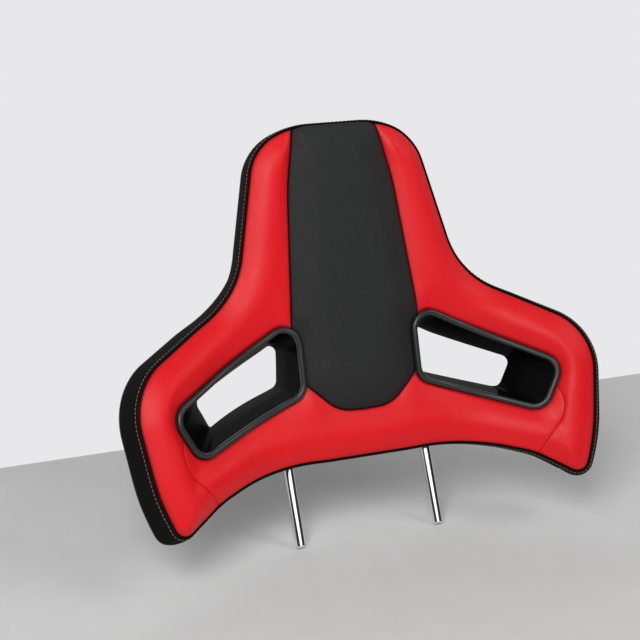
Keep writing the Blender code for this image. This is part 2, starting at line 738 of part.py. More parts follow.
def make_gussets_and_retainers():
    """The side band of the cover in two strips, and the strips that hook it into the back shell."""
    lowest = min(range(len(EDGE_CORNERS)), key=lambda k: EDGE_CORNERS[k][1])
    tip = EDGE_STATIONS[lowest] + GUSSET_JOIN
    rear = RIM_BACK + SHELL_WALL + GAP
    for name, start, end in (
        ("upper", -tip + GAP / 2, tip - GAP / 2),
        ("lower", tip + GAP / 2, 2 * EDGE_LENGTH - tip - GAP / 2),
    ):
        path, outward, drops, flares = walk(start, end)

        def gusset(k):
            shares = (1, 1 - GUSSET_ROLL, GUSSET_ROLL, 0)
            inner = [
                (GAP + puff + flares[k] * share, -drops[k] + share * (rear + drops[k]))
                for share, puff in zip(shares, (0, GUSSET_PUFF, GUSSET_PUFF, 0))
            ]
            return inner + [(reach + GUSSET_WALL, n) for reach, n in reversed(inner)]

        def retainer(k):
            inner = -GAP - RETAINER_WIDTH
            top = rear + RETAINER_HEIGHT
            return ((inner, rear), (inner, top), (-GAP, top), (-GAP, rear))

        strip("gusset_" + name, path, outward, gusset, GUSSET_LEATHER)
        strip("retainer_" + name, path, outward, retainer, STRIP_PLASTIC)


# ---------------------------------------------------------------- windows
def make_windows():
    seat_n = -BEZEL_DIP + GAP
    bezel = [
        lift(offset(WINDOW, -BEZEL_BAND * share), seat_n + BEZEL_HEIGHT * rise)
        for share, rise in BEZEL_SECTION
    ]
    shell = shell_back(TUNNEL_REAR)
    front = offset(WINDOW, -WINDOW_TUCK - GAP)
    wall = ((front, -BEZEL_DIP), (TUNNEL_WAIST, TUNNEL_STEP),
            (TUNNEL_REAR, shell + SHELL_WALL + GAP), (TUNNEL_REAR, shell - TUNNEL_LIP))
    tunnel = [lift(loop, n) for loop, n in wall]
    tunnel += [lift(offset(loop, -TUNNEL_WALL), n) for loop, n in reversed(wall)]
    for side, flip in (("right", (1, 1, 1)), ("left", (-1, 1, 1))):
        ring("window_bezel_" + side, [loop * flip for loop in bezel], BEZEL_PLASTIC)
        ring("window_tunnel_" + side, [loop * flip for loop in tunnel], TUNNEL_PLASTIC)


# ---------------------------------------------------------------- carrier and shell
def screw_seats():
    """Each shell screw's name, its place on the shell's outer face, and the shell's n there."""
    for k, (x, y) in enumerate(SCREW_PLACES, 1):
        n = float(shell_back(np.array(((x * MM, y * MM),)))[0])
        for side, sign in (("right", 1), ("left", -1)):
            yield f"shell_screw_{side}_{k}", seat(sign * x * MM, y * MM, n), n


def make_carrier():
    window_hole = offset(WINDOW, -WINDOW_TUCK + GAP)
    outline = offset(EDGE, -CARRIER_INSET)
    plan, faces = triangulated([outline, window_hole, mirrored(window_hole)], [], BACK_STEP)
    middles = plan[faces].mean(axis=1)
    solid = inside(outline, middles) & ~inside(window_hole, right_half(middles))
    front = FOAM_BACK - CARRIER_GAP
    carrier = slab("carrier_plate", plan, faces[solid], front, front - CARRIER_WALL, CARRIER_PLASTIC)
    bosses, pilots, places = [], [], []
    for _, place, n in screw_seats():
        reach = front - CARRIER_WALL / 2 - n
        bosses.append(cylinder(BOSS_DIAMETER / 2, SHELL_WALL + 2 * GAP, reach, SCREW_STEPS))
        pilots.append(cylinder(SCREW_DIAMETER / 2 + SCREW_PLAY, 0, SCREW_LENGTH + GAP, SCREW_STEPS))
        places.append(place)
    boolean(carrier, add_cutter("carrier_bosses", joined("carrier_bosses", bosses, places)), "UNION")
    boolean(carrier, add_cutter("boss_pilots", joined("boss_pilots", pilots, places)), "DIFFERENCE")


def post_axis(side):
    """Frame on a post's axis: Z runs from its end up to the crossbar's height."""
    end = post_end() + Vector((side * POST_SPACING / 2, 0, 0))
    return Matrix.Translation(end) @ Matrix.Rotation(-math.pi / 2 - POST_LEAN, 4, "X")


def ferrule_span():
    """The ferrule's two ends, as distances up the post from its end."""
    top = POST_LENGTH - POST_BEND - GAP
    return top - FERRULE_LENGTH, top


def make_shell():
    outline = flared_edge(GAP + GUSSET_WALL)
    inner = offset(EDGE, -SHELL_BULGE_INSET)
    crest = offset(EDGE, -SHELL_BULGE_INSET - SHELL_BULGE_RAMP)
    hole = offset(TUNNEL_REAR, GAP)
    around = np.linspace(0, 2 * math.pi, SCREW_SEAT_STEPS, endpoint=False)
    circle = np.column_stack((np.sin(around), np.cos(around)))
    flats = [
        place * (side, 1) + circle * radius
        for place in np.array(SCREW_PLACES) * MM for side in (1, -1)
        for radius in (SCREW_SEAT_RADIUS, SCREW_SEAT_RADIUS + SCREW_SEAT_RAMP)
    ]
    plan, faces = triangulated([outline, hole, mirrored(hole), inner, crest] + flats, [], BACK_STEP)
    middles = plan[faces].mean(axis=1)
    solid = inside(outline, middles) & ~inside(hole, right_half(middles))
    back = shell_back(plan)
    shell = slab("back_shell", plan, faces[solid], back + SHELL_WALL, back, SHELL_PLASTIC, shrink=0)
    places = [place for _, place, _ in screw_seats()]
    hole = cylinder(SCREW_DIAMETER / 2 + SCREW_PLAY, -SHELL_WALL, 2 * SHELL_WALL, SCREW_STEPS)
    holes = joined("shell_screw_holes", [hole] * len(places), places)
    boolean(shell, add_cutter("shell_screw_holes", holes), "DIFFERENCE")
    radius = POST_DIAMETER / 2 + POST_PLAY + FERRULE_WALL + GAP
    # The bores end where the bulge does: further down they would only graze the flat rim.
    low = POST_LENGTH - (CROSSBAR_Y - PAD_BOTTOM - SHELL_BULGE_INSET) / math.cos(POST_LEAN)
    high = ferrule_span()[1] + POST_DIAMETER / 2
    for name, side in (("right", 1), ("left", -1)):
        bore = cylinder(radius, low, high, POST_STEPS)
        boolean(shell, add_cutter("ferrule_hole_" + name, bore, post_axis(side)), "DIFFERENCE")


# ---------------------------------------------------------------- posts and clamps
def make_posts():
    """One rod bent to an upside-down U, with both ends chamfered."""
    lean = Matrix.Rotation(-POST_LEAN, 4, "X")
    half = POST_SPACING / 2
    arc = [
        (half - POST_BEND + POST_BEND * math.cos(a), -POST_BEND + POST_BEND * math.sin(a))
        for a in (math.radians(15 * k) for k in range(7))
    ]
    chamfer = POST_CHAMFER
    right = [(half, -POST_LENGTH, 1 - chamfer / (POST_DIAMETER / 2)), (half, chamfer - POST_LENGTH, 1)]
    right += [(x, y, 1) for x, y in arc]
    rod = right + [(-x, y, size) for x, y, size in reversed(right)]
    curve = bpy.data.curves.new("post_hoop", "CURVE")
    curve.dimensions = "3D"
    curve.bevel_depth = POST_DIAMETER / 2
    curve.bevel_resolution = 5
    curve.use_fill_caps = True
    spline = curve.splines.new("POLY")
    spline.points.add(len(rod) - 1)
    for point, (x, y, size) in zip(spline.points, rod):
        point.co = (x, y, 0, 1)
        point.radius = size
    add("post_hoop", curve, CHROME, Matrix.Translation((0, CROSSBAR_Y, CROSSBAR_N)) @ lean)


def make_ferrules():
    inner = POST_DIAMETER / 2 + POST_PLAY
    outer = inner + FERRULE_WALL
    low, high = ferrule_span()
    profile = ((inner, high), (outer, high), (outer, low), (inner, low), (inner, high))
    for name, side in (("right", 1), ("left", -1)):
        add("post_ferrule_" + name, turned(profile, POST_STEPS), CARRIER_PLASTIC, post_axis(side))


def make_clamps():
    groove = POST_DIAMETER / 2 + POST_PLAY
    seat_n = FOAM_BACK - CARRIER_GAP - CARRIER_WALL - GAP
    split = CROSSBAR_N - GAP / 2
    low_y, high_y = CROSSBAR_Y - CLAMP_HEIGHT / 2, CROSSBAR_Y + CLAMP_HEIGHT / 2
    bore = cylinder(groove, -CLAMP_X - CLAMP_WIDTH, CLAMP_X + CLAMP_WIDTH, POST_STEPS)
    bore_place = Matrix.Translation((0, CROSSBAR_Y, CROSSBAR_N)) @ Matrix.Rotation(math.pi / 2, 4, "Y")
    bore_cutter = add_cutter("crossbar_groove", bore, bore_place)
    cap_back = split - CLAMP_CAP
    bolt_seat = cap_back + CLAMP_BOLT_HEAD_HEIGHT + GAP
    shank = CLAMP_BOLT_DIAMETER / 2
    places = [
        Matrix.Translation((side * CLAMP_X, CROSSBAR_Y + end * CLAMP_BOLT_OFFSET, bolt_seat))
        for side in (1, -1) for end in (1, -1)
    ]
    hole = cylinder(shank + SCREW_PLAY, -CLAMP_CAP, CLAMP_BOLT_LENGTH + GAP, SCREW_STEPS)
    sink = cylinder(CLAMP_BOLT_HEAD / 2 + SCREW_PLAY, -CLAMP_CAP, 0, SCREW_STEPS)
    hole_cutter = add_cutter("clamp_bolt_holes", joined("clamp_bolt_holes", [hole] * 4, places))
    sink_cutter = add_cutter("clamp_bolt_sinks", joined("clamp_bolt_sinks", [sink] * 4, places))
    for name, side in (("right", 1), ("left", -1)):
        low_x, high_x = side * CLAMP_X - CLAMP_WIDTH / 2, side * CLAMP_X + CLAMP_WIDTH / 2
        base = add("clamp_base_" + name,
                   box((low_x, low_y, CROSSBAR_N + GAP / 2), (high_x, high_y, seat_n)), STEEL)
        cap = add("clamp_cap_" + name, box((low_x, low_y, cap_back), (high_x, high_y, split)), STEEL)
        boolean(base, bore_cutter, "DIFFERENCE")
        boolean(base, hole_cutter, "DIFFERENCE")
        boolean(cap, bore_cutter, "DIFFERENCE")
        boolean(cap, hole_cutter, "DIFFERENCE")
        boolean(cap, sink_cutter, "DIFFERENCE")
    bolt = turned((
        (0, CLAMP_BOLT_LENGTH), (shank, CLAMP_BOLT_LENGTH), (shank, 0), (CLAMP_BOLT_HEAD / 2, 0),
        (CLAMP_BOLT_HEAD / 2, -CLAMP_BOLT_HEAD_HEIGHT), (0, -CLAMP_BOLT_HEAD_HEIGHT),
    ), SCREW_STEPS)
    names = ("right_top", "right_bottom", "left_top", "left_bottom")
    for name, place in zip(names, places):
        add("clamp_bolt_" + name, bolt.copy(), STEEL, Matrix.Translation((0, 0, -GAP)) @ place)


def make_shell_screws():
    shank, head = SCREW_DIAMETER / 2, SCREW_HEAD / 2
    screw = turned((
        (0, SCREW_LENGTH), (shank, SCREW_LENGTH), (shank, 0), (head, 0),
        (head, -SCREW_HEAD_RIM), (SCREW_HEAD_TOP / 2, -SCREW_HEAD_HEIGHT), (0, -SCREW_HEAD_HEIGHT),
    ), SCREW_STEPS)
    for name, place, _ in screw_seats():
        add(name, screw.copy(), BLACK_STEEL, place @ Matrix.Translation((0, 0, -GAP)))


make_pad()
make_gussets_and_retainers()
make_windows()
make_carrier()
make_shell()
make_posts()
make_ferrules()
make_clamps()
make_shell_screws()
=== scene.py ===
# %% [markdown]
# # A sport-seat headrest with shoulder wings
#
# The real object is the top of a sport seat: a leather pad that widens into two wings, each with
# a window in it, on two chromed posts. Its CAD model is packed already, so the first step loads
# it. Everything after that dresses the model: cushions with rolled seams, a stitched side band,
# bezels and funnels in the windows, a chromed hoop, and a finish for every surface. The size of
# the CAD model is kept.

# %% The imported model
import math

import bmesh
import bpy
import numpy as np
from mathutils import Matrix, Vector
from mathutils.geometry import delaunay_2d_cdt
from mathutils.kdtree import KDTree


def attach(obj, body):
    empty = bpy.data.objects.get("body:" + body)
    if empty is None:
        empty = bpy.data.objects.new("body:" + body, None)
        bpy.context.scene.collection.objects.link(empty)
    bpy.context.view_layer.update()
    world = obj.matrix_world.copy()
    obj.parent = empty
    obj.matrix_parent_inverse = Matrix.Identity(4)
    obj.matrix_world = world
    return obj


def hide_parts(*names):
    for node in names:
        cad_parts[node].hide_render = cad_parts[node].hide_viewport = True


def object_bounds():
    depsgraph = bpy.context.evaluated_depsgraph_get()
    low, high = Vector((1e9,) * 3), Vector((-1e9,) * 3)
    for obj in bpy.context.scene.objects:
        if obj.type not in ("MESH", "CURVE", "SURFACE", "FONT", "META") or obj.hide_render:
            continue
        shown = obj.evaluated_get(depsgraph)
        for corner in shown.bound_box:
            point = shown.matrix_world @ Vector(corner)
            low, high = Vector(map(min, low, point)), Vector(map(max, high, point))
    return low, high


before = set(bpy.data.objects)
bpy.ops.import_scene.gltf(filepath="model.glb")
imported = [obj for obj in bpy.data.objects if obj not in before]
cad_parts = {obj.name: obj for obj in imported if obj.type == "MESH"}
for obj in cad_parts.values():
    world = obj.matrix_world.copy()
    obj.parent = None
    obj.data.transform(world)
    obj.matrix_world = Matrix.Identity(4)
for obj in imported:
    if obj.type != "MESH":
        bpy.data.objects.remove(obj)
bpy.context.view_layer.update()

print("nodes in the frame:", len(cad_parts))

# %% [markdown]
# ## The drawing
#
# An upholsterer cuts the leather flat, and so the pad is drawn flat here, in millimetres: x runs
# across it, y up it and n out of its face. It could be sculpted in three dimensions at once, but
# seams, windows and screws are far easier to place on a drawing, and one function rolls it up
# later. The CAD model came from the same drawing, apart from a rounder foot of the centre panel,
# so every piece lands on it without fitting.

# %% Corners of the drawing
TOP, BOTTOM, TIP = 318.5, -56, -113.5
HEAD, SHOULDER = 95.5, 278

# x, y, fillet, the face's drop to the edge seam, the width of that drop, the side band's flare
EDGE_CORNERS = (
    (HEAD - 47.5, TOP, 100, 3, 20, 0),
    (HEAD, TOP - 18, 58, 7, 24, 0),
    (HEAD + 37.5, 136, 104, 6, 26, 0),
    (SHOULDER, 52, 72, 12, 34, 4),
    (SHOULDER - 15.5, TIP + 48.5, 264, 13.5, 32, 6),
    (SHOULDER - 33, TIP, 12.5, 10.5, 24, 5),
    (SHOULDER - 86.5, TIP + 34.5, 105, 3, 20, 3),
    (SHOULDER - 162, BOTTOM + 2, 300, 4, 22, 0),
    (SHOULDER - 228, BOTTOM, 300, 4, 22, 0),
)
WING_TIP = 5  # its place in that list

# x, y, fillet
CENTRE_CORNERS = (
    (HEAD - 48.5, TOP + 11.5, 0), (HEAD - 32.5, TOP - 68.5, 300), (HEAD - 19, 95, 60),
    (70, 34, 14), (32, -3, 40), (0, -4.5, 0),
)
WING_SEAM_CORNERS = (
    (SHOULDER - 57, 1, 0), (SHOULDER - 37, -31, 34), (SHOULDER - 87, TIP + 27.5, 0),
)
WINDOW_CORNERS = ((66.3, 113), (66.3, 19.5), (SHOULDER - 68, -36.7), (SHOULDER - 37, 19))
print(f"the flat pad is {2 * SHOULDER} mm wide and {TOP - TIP} mm high between its corners")

# %% [markdown]
# ## Lines
#
# A sewn edge is a smooth line, and a list of corners isn't one yet. A Blender curve could be bent
# by hand until it looks right, but a fillet of a known radius gives the same line each time, and
# its points can be counted, moved sideways and measured from.

# %% Rounded lines
LINE_STEP = 3


def fillet(before, corner, after, radius, steps):
    """Points of the arc that rounds a corner, from one tangent point to the other."""
    to_before = (before - corner) / np.linalg.norm(before - corner)
    to_after = (after - corner) / np.linalg.norm(after - corner)
    half = math.acos(np.clip(to_before @ to_after, -1, 1)) / 2
    middle = (to_before + to_after) / np.linalg.norm(to_before + to_after)
    centre = corner + middle * radius / math.sin(half)
    first = corner + to_before * radius / math.tan(half) - centre
    last = corner + to_after * radius / math.tan(half) - centre
    turn = math.atan2(first[0] * last[1] - first[1] * last[0], first @ last)
    return [
        centre + np.array((math.cos(a) * first[0] - math.sin(a) * first[1],
                           math.sin(a) * first[0] + math.cos(a) * first[1]))
        for a in np.linspace(0, turn, steps + 1)
    ]


def spread(points, step):
    """The same polyline with its long edges cut into equal pieces no longer than step.

    The 0.01 spares an edge that is a whole number of steps one more cut.
    """
    spaced = [points[0]]
    for start, end in zip(points, points[1:]):
        count = max(1, math.ceil(np.linalg.norm(end - start) / step - 0.01))
        spaced += [start + (end - start) * k / count for k in range(1, count + 1)]
    return np.array(spaced)


def rounded_path(corners):
    """An open path through corners of (x, y, fillet), with a point every line step."""
    points = [np.array(corner[:2], float) for corner in corners]
    path = [points[0]]
    for before, corner, after, shape in zip(points, points[1:], points[2:], corners[1:]):
        turn = math.pi - math.acos(np.clip(
            (before - corner) @ (after - corner)
            / (np.linalg.norm(before - corner) * np.linalg.norm(after - corner)), -1, 1))
        steps = max(3, math.ceil(turn * shape[2] / LINE_STEP))
        path += fillet(before, corner, after, shape[2], steps)
    path.append(points[-1])
    return spread(path, LINE_STEP)


EDGE_RIGHT = rounded_path(
    [(0, TOP, 0)] + [corner[:3] for corner in EDGE_CORNERS] + [(0, BOTTOM, 0)])
CENTRE_RIGHT = rounded_path(CENTRE_CORNERS)
WING_SEAM = rounded_path(WING_SEAM_CORNERS)
print("points on the right half:", len(EDGE_RIGHT), "edge,", len(CENTRE_RIGHT), "centre seam,",
      len(WING_SEAM), "wing seam")

# %% Loops
def mirrored(loop):
    """The loop on the other half of the pad, still clockwise."""
    return (loop * (-1, 1))[::-1]


def close(path):
    """A loop as a path that ends where it starts."""
    return np.vstack((path, path[:1]))


def mitres(loop):
    """Outward direction at each point of a clockwise loop, as long as keeps an offset parallel."""
    ahead = np.roll(loop, -1, axis=0) - loop
    ahead /= np.linalg.norm(ahead, axis=1, keepdims=True)
    out_ahead = ahead[:, ::-1] * (-1, 1)
    total = out_ahead + np.roll(out_ahead, 1, axis=0)
    total /= np.linalg.norm(total, axis=1, keepdims=True)
    return total / np.sum(total * out_ahead, axis=1, keepdims=True)


def offset(loop, distance):
    """The closed loop moved outward, or inward where the distance is negative."""
    return loop + mitres(loop) * distance


EDGE = np.vstack((EDGE_RIGHT, mirrored(EDGE_RIGHT)[1:-1]))
CENTRE = np.vstack((CENTRE_RIGHT, mirrored(CENTRE_RIGHT)[1:]))
EDGE_LENGTH = float(np.linalg.norm(np.diff(close(EDGE), axis=0), axis=1).sum())
print("whole edge:", len(EDGE), "points,", round(EDGE_LENGTH), "mm round")

# %% The window's outline
WINDOW_RADIUS, WINDOW_TUCK = 22, 3.5
WINDOW_ARC_STEPS = 12
WINDOW_SIDE_STEPS = (16, 30, 10, 32)


def window_loop(insets, radius):
    """The right window's outline, drawn in from each side, with the same count of points always."""
    points = [np.array(corner, float) for corner in WINDOW_CORNERS]
    sides = []
    for k, inset in enumerate(insets):
        along = points[(k + 1) % 4] - points[k]
        along /= np.linalg.norm(along)
        sides.append((points[k] + np.array((-along[1], along[0])) * inset, along))
    corners = []
    for k in range(4):
        (p, a), (q, b) = sides[k - 1], sides[k]
        across = (q - p)[0] * b[1] - (q - p)[1] * b[0]
        corners.append(p + a * across / (a[0] * b[1] - a[1] * b[0]))
    arcs = [fillet(corners[k - 1], corners[k], corners[(k + 1) % 4], radius, WINDOW_ARC_STEPS)
            for k in range(4)]
    loop = []
    for k, (arc, cuts) in enumerate(zip(arcs, WINDOW_SIDE_STEPS)):
        start, end = arc[-1], arcs[(k + 1) % 4][0]
        loop += arc + [start + (end - start) * c / cuts for c in range(1, cuts)]
    return np.array(loop)[::-1]


WINDOW = window_loop((0, 0, 0, 0), WINDOW_RADIUS)
WINDOW_CUT = offset(WINDOW, -WINDOW_TUCK)
print("window:", len(WINDOW), "points,", np.ptp(WINDOW, axis=0).round(1), "mm wide and high")


# %% Distances
def inside(loop, points):
    """Which points lie within a closed loop."""
    x, y = points[:, 0:1], points[:, 1:2]
    x1, y1 = loop.T
    x2, y2 = np.roll(loop, -1, axis=0).T
    crosses = (y1 > y) != (y2 > y)
    rise = np.where(y2 == y1, 1, y2 - y1)
    return np.sum(crosses & (x < (x2 - x1) * (y - y1) / rise + x1), axis=1) % 2 == 1


def nearest(path, points, block=4000):
    """Distance from each point to a path, and how far along the path its nearest point lies."""
    start, along = path[:-1], np.diff(path, axis=0)
    length = np.linalg.norm(along, axis=1)
    marks = np.concatenate(((0,), np.cumsum(length)))
    found = []
    for some in np.array_split(points, max(1, len(points) // block)):
        to_point = some[:, None, :] - start[None]
        share = np.clip(np.sum(to_point * along, axis=2) / length**2, 0, 1)
        apart = np.linalg.norm(to_point - share[..., None] * along, axis=2)
        best = apart.argmin(axis=1)
        rows = np.arange(len(some))
        found.append((apart[rows, best], marks[best] + share[rows, best] * length[best]))
    return [np.concatenate(column) for column in zip(*found)]


def right_half(points):
    """Points of both halves, all moved to the right one."""
    return np.column_stack((np.abs(points[:, 0]), points[:, 1]))


print("the window comes within", nearest(EDGE_RIGHT, WINDOW)[0].min().round(1), "mm of the edge")

# %% What changes along the edge
EDGE_STATIONS = nearest(EDGE_RIGHT, np.array([corner[:2] for corner in EDGE_CORNERS]))[1]


def edge_values(points):
    """The face's drop to the edge seam, the width of that drop and the side band's flare."""
    travelled = nearest(EDGE_RIGHT, right_half(points))[1]
    columns = np.array([corner[3:] for corner in EDGE_CORNERS]).T
    return [np.interp(travelled, EDGE_STATIONS, column) for column in columns]


print("the edge runs", round(EDGE_STATIONS[WING_TIP]), "mm from the top's middle to the wing tip")

# %% [markdown]
# ## From flat to real
#
# On the real pad both wings turn forward past a slanted line, and the whole pad leans back on its
# posts. A lattice or a Simple Deform modifier could bend it, but a formula of a few lines gives
# the exact roll of the CAD model, and it can place a single screw as well as a whole cushion. The
# frame has its origin between the ends of the posts, so the pad's place is worked out from there.

# %% Curl and place
PAD_LEAN, POST_LEAN = math.radians(20), math.radians(9.2)
CURL_START, CURL_SLANT = 88, math.radians(15)
CURL_RADIUS, CURL_ANGLE = 150, math.radians(25)
POST_LENGTH = 144
CROSSBAR_Y, CROSSBAR_N = -12, -59

POST_END = Vector((0, CROSSBAR_Y - POST_LENGTH * math.cos(POST_LEAN),
                   CROSSBAR_N + POST_LENGTH * math.sin(POST_LEAN)))
PAD_TURN = Matrix.Rotation(math.pi / 2 - PAD_LEAN, 4, "X")
PAD_PLACE = Matrix.Scale(0.001, 4) @ Matrix.Translation(-(PAD_TURN @ POST_END)) @ PAD_TURN


def curl(points):
    """Flat points with both wings turned forward."""
    x, y, n = points.T
    cos, sin = math.cos(CURL_SLANT), math.sin(CURL_SLANT)
    across = np.abs(x) * cos - y * sin - CURL_START
    along = np.abs(x) * sin + y * cos
    turn = np.clip(across / CURL_RADIUS, 0, CURL_ANGLE)
    straight = across - turn * CURL_RADIUS
    reach = CURL_RADIUS - n
    out = reach * np.sin(turn) + straight * np.cos(turn) + CURL_START
    rise = CURL_RADIUS - reach * np.cos(turn) + np.where(across > 0, straight, 0) * np.sin(turn)
    side = np.where(x < 0, -1, 1)
    return np.column_stack((side * (out * cos + along * sin), along * cos - out * sin, rise))


def placed(points):
    """Points of the leaning pad's frame, in mm, to the object's frame in metres."""
    place = np.array(PAD_PLACE)
    return points @ place[:3, :3].T + place[:3, 3]


def real(points, heights):
    """Flat points, with a height each or one for all, to their real place in metres."""
    return placed(curl(np.column_stack((points, np.broadcast_to(heights, len(points))))))


wing_tip = real(np.array([EDGE_CORNERS[WING_TIP][:2]], float), 0)[0]
print("the right wing's tip is at", wing_tip.round(3), "m")

# %% [markdown]
# ## Making meshes
#
# A real cushion or cover is solid, so each piece here is a closed mesh, and its object stays at
# the origin. Primitives and modifiers could make some of them. Most follow the drawing, though,
# and rings of points or triangles over the flat plan keep to it exactly. `piece` gives a mesh its
# finish, rides it on the only body and hides the CAD nodes it stands for.

# %% Mesh helpers
def mesh_from(name, points, faces):
    """A smooth mesh with its faces turned outward."""
    mesh = bpy.data.meshes.new(name)
    mesh.from_pydata([tuple(p) for p in points], [], [tuple(int(v) for v in f) for f in faces])
    shape = bmesh.new()
    shape.from_mesh(mesh)
    bmesh.ops.recalc_face_normals(shape, faces=shape.faces[:])
    if shape.calc_volume(signed=True) < 0:
        bmesh.ops.reverse_faces(shape, faces=shape.faces[:])
    shape.to_mesh(mesh)
    shape.free()
    mesh.shade_smooth()
    return mesh


def piece(name, mesh, skin, slot, *nodes, sharp=None):
    """A visible piece. Edges that turn by more than sharp degrees stay crisp."""
    obj = bpy.data.objects.new(name, mesh)
    bpy.context.scene.collection.objects.link(obj)
    if sharp:
        mesh.set_sharp_from_angle(angle=math.radians(sharp))
    mesh.materials.clear()
    mesh.materials.append(skin)
    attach(obj, "root")
    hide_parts(*nodes)
    print(f"{name}: {len(mesh.polygons)} faces")
    return obj


def lofted(rows, closed=False, caps=False):
    """Faces between rows of points of equal count, each row a closed loop."""
    size, count = len(rows[0]), len(rows)
    faces = []
    for r in range(count if closed else count - 1):
        for k in range(size):
            a, b = r * size, (r + 1) % count * size
            faces.append((a + k, a + (k + 1) % size, b + (k + 1) % size, b + k))
    if caps:
        faces += [tuple(range(size))[::-1], tuple(range((count - 1) * size, count * size))]
    return faces


# %% Triangles over the plan
GRID_CLEARANCE = 0.5  # of a step, between the grid and any line


def plan_mesh(loops, paths, step):
    """Triangles over the plan: the lines stay as edges, and a staggered grid fills between them."""
    points, edges = [], []
    for line, closed in [(loop, True) for loop in loops] + [(path, False) for path in paths]:
        base = len(points)
        points += list(line)
        edges += [(base + k, base + k + 1) for k in range(len(line) - 1)]
        if closed:
            edges.append((base + len(line) - 1, base))
    low, high = loops[0].min(axis=0), loops[0].max(axis=0)
    row = step * math.sqrt(3) / 2
    grid = np.array([
        (step * (k + 0.5 * (j % 2)), low[1] + row * (j + 0.5))
        for j in range(int((high[1] - low[1]) / row) + 1)
        for k in range(-int(high[0] / step) - 1, int(high[0] / step) + 1)
    ])
    clear = inside(loops[0], grid)
    for line in [close(loop) for loop in loops] + list(paths):
        clear &= nearest(line, grid)[0] > GRID_CLEARANCE * step
    points += list(grid[clear])
    made = delaunay_2d_cdt([Vector(p) for p in points], edges, [], 0, 1e-5)
    plan = np.array([tuple(v) for v in made[0]])
    return plan, np.array([face for face in made[2] if len(face) == 3])


# %% A solid from the plan
def solid_from_plan(plan, faces, top, back, rows):
    """Closed mesh between two heights over some of the plan's triangles.

    Rows down its sides are (pull, share): how far the outline draws in, and how much of the way
    from the top to the back it is there. Returns points, faces and the plan points of the top skin.
    """
    used, faces = np.unique(faces, return_inverse=True)
    faces = faces.reshape(-1, 3)
    points = plan[used]
    top, back = [np.broadcast_to(heights, len(plan))[used] for heights in (top, back)]
    corners = points[faces]
    turned = np.cross(corners[:, 1] - corners[:, 0], corners[:, 2] - corners[:, 0]) < 0
    faces[turned] = faces[turned][:, ::-1]
    directed = {(int(f[k]), int(f[k - 2])) for f in faces for k in range(3)}
    rim = [(a, b) for a, b in directed if (b, a) not in directed]
    inward = np.zeros_like(points)
    for a, b in rim:
        along = (points[b] - points[a]) / np.linalg.norm(points[b] - points[a])
        inward[[a, b]] += (-along[1], along[0])
    inward /= np.maximum(np.linalg.norm(inward, axis=1, keepdims=True), 1e-6)
    rim_points = np.array(sorted({v for edge in rim for v in edge}))
    solid, index, base = [], [], 0
    for k, (pull, share) in enumerate(rows):
        kept = np.arange(len(points)) if k in (0, len(rows) - 1) else rim_points
        heights = top + (back - top) * share
        index.append({v: base + row for row, v in enumerate(kept.tolist())})
        base += len(kept)
        solid.append(real((points + inward * pull)[kept], heights[kept]))
    last = base - len(points)
    skins = [tuple(f) for f in faces] + [tuple(f[::-1] + last) for f in faces]
    sides = [
        (upper[b], upper[a], lower[a], lower[b])
        for upper, lower in zip(index, index[1:]) for a, b in rim
    ]
    return np.vstack(solid), skins + sides, used


# %% [markdown]
# ## Finishes
#
# Each finish starts from the real material: its colour, how rough it is, and a pattern with a
# size in millimetres. Photographs of leather could be wrapped round the pieces, but patterns made
# from nodes on Object coordinates need no files, show no repeat and hold at any distance. One
# helper adds a node, one turns a screen colour into the linear one that a shader wants.

# %% Node helpers
def feed(tree, made, inputs):
    """Sets a node's inputs, or links them where the value is another node or one of its outputs."""
    for name, value in dict(inputs).items():
        if isinstance(value, bpy.types.Node):
            value = value.outputs[0]
        if isinstance(value, bpy.types.NodeSocket):
            tree.links.new(value, made.inputs[name])
        else:
            made.inputs[name].default_value = value
    return made


def node(tree, kind, inputs=(), **settings):
    """A new node with its settings made and its inputs fed."""
    made = tree.nodes.new(kind)
    for name, value in settings.items():
        setattr(made, name, value)
    return feed(tree, made, inputs)


def linear(colour):
    """A screen colour such as "#de1f2a" as the linear colour a shader takes."""
    parts = [int(colour[k:k + 2], 16) / 255 for k in (1, 3, 5)]
    return tuple(c / 12.92 if c <= 0.04045 else ((c + 0.055) / 1.055) ** 2.4 for c in parts) + (1,)


def per_mm(size):
    """Texture scale at which one cell is that many millimetres, on an object made in metres."""
    return 1000 / size


def new_finish(name):
    """A new material with its node tree, its shader and the place of each point on the object."""
    material = bpy.data.materials.new(name)
    material.use_nodes = True
    tree = material.node_tree
    where = node(tree, "ShaderNodeTexCoord").outputs["Object"]
    return material, tree, tree.nodes["Principled BSDF"], where


print("mid grey on the screen is", round(linear("#808080")[0], 3), "for a shader")

# %% [markdown]
# ### Leather
#
# The hides are coated with pigment and pressed hot: the red and the band's under a smooth plate,
# the centre's under an embossed one. That leaves a skin of small pebbles with creases between
# them. A bitmap of leather would tile. A Voronoi Texture's distance to its cell edges is already a
# net of creases, and a little noise in its coordinates makes the cells uneven. Real pebbles are
# well under a millimetre and wouldn't show at this distance, so they are drawn about twice as
# coarse. Plain noise seldom leaves 0.3 to 0.7, so a Map Range stretches that span. Where the
# leather dives into a seam or meets a bezel, shade is painted darker into it, by an attribute
# of the mesh.

# %% Leather
CREASE_WIDTH, CREASE_SHARE = 0.22, 0.55
PATCH_SIZE, PATCH_SHARE = 45, 0.16
WEAR_SIZE = 12


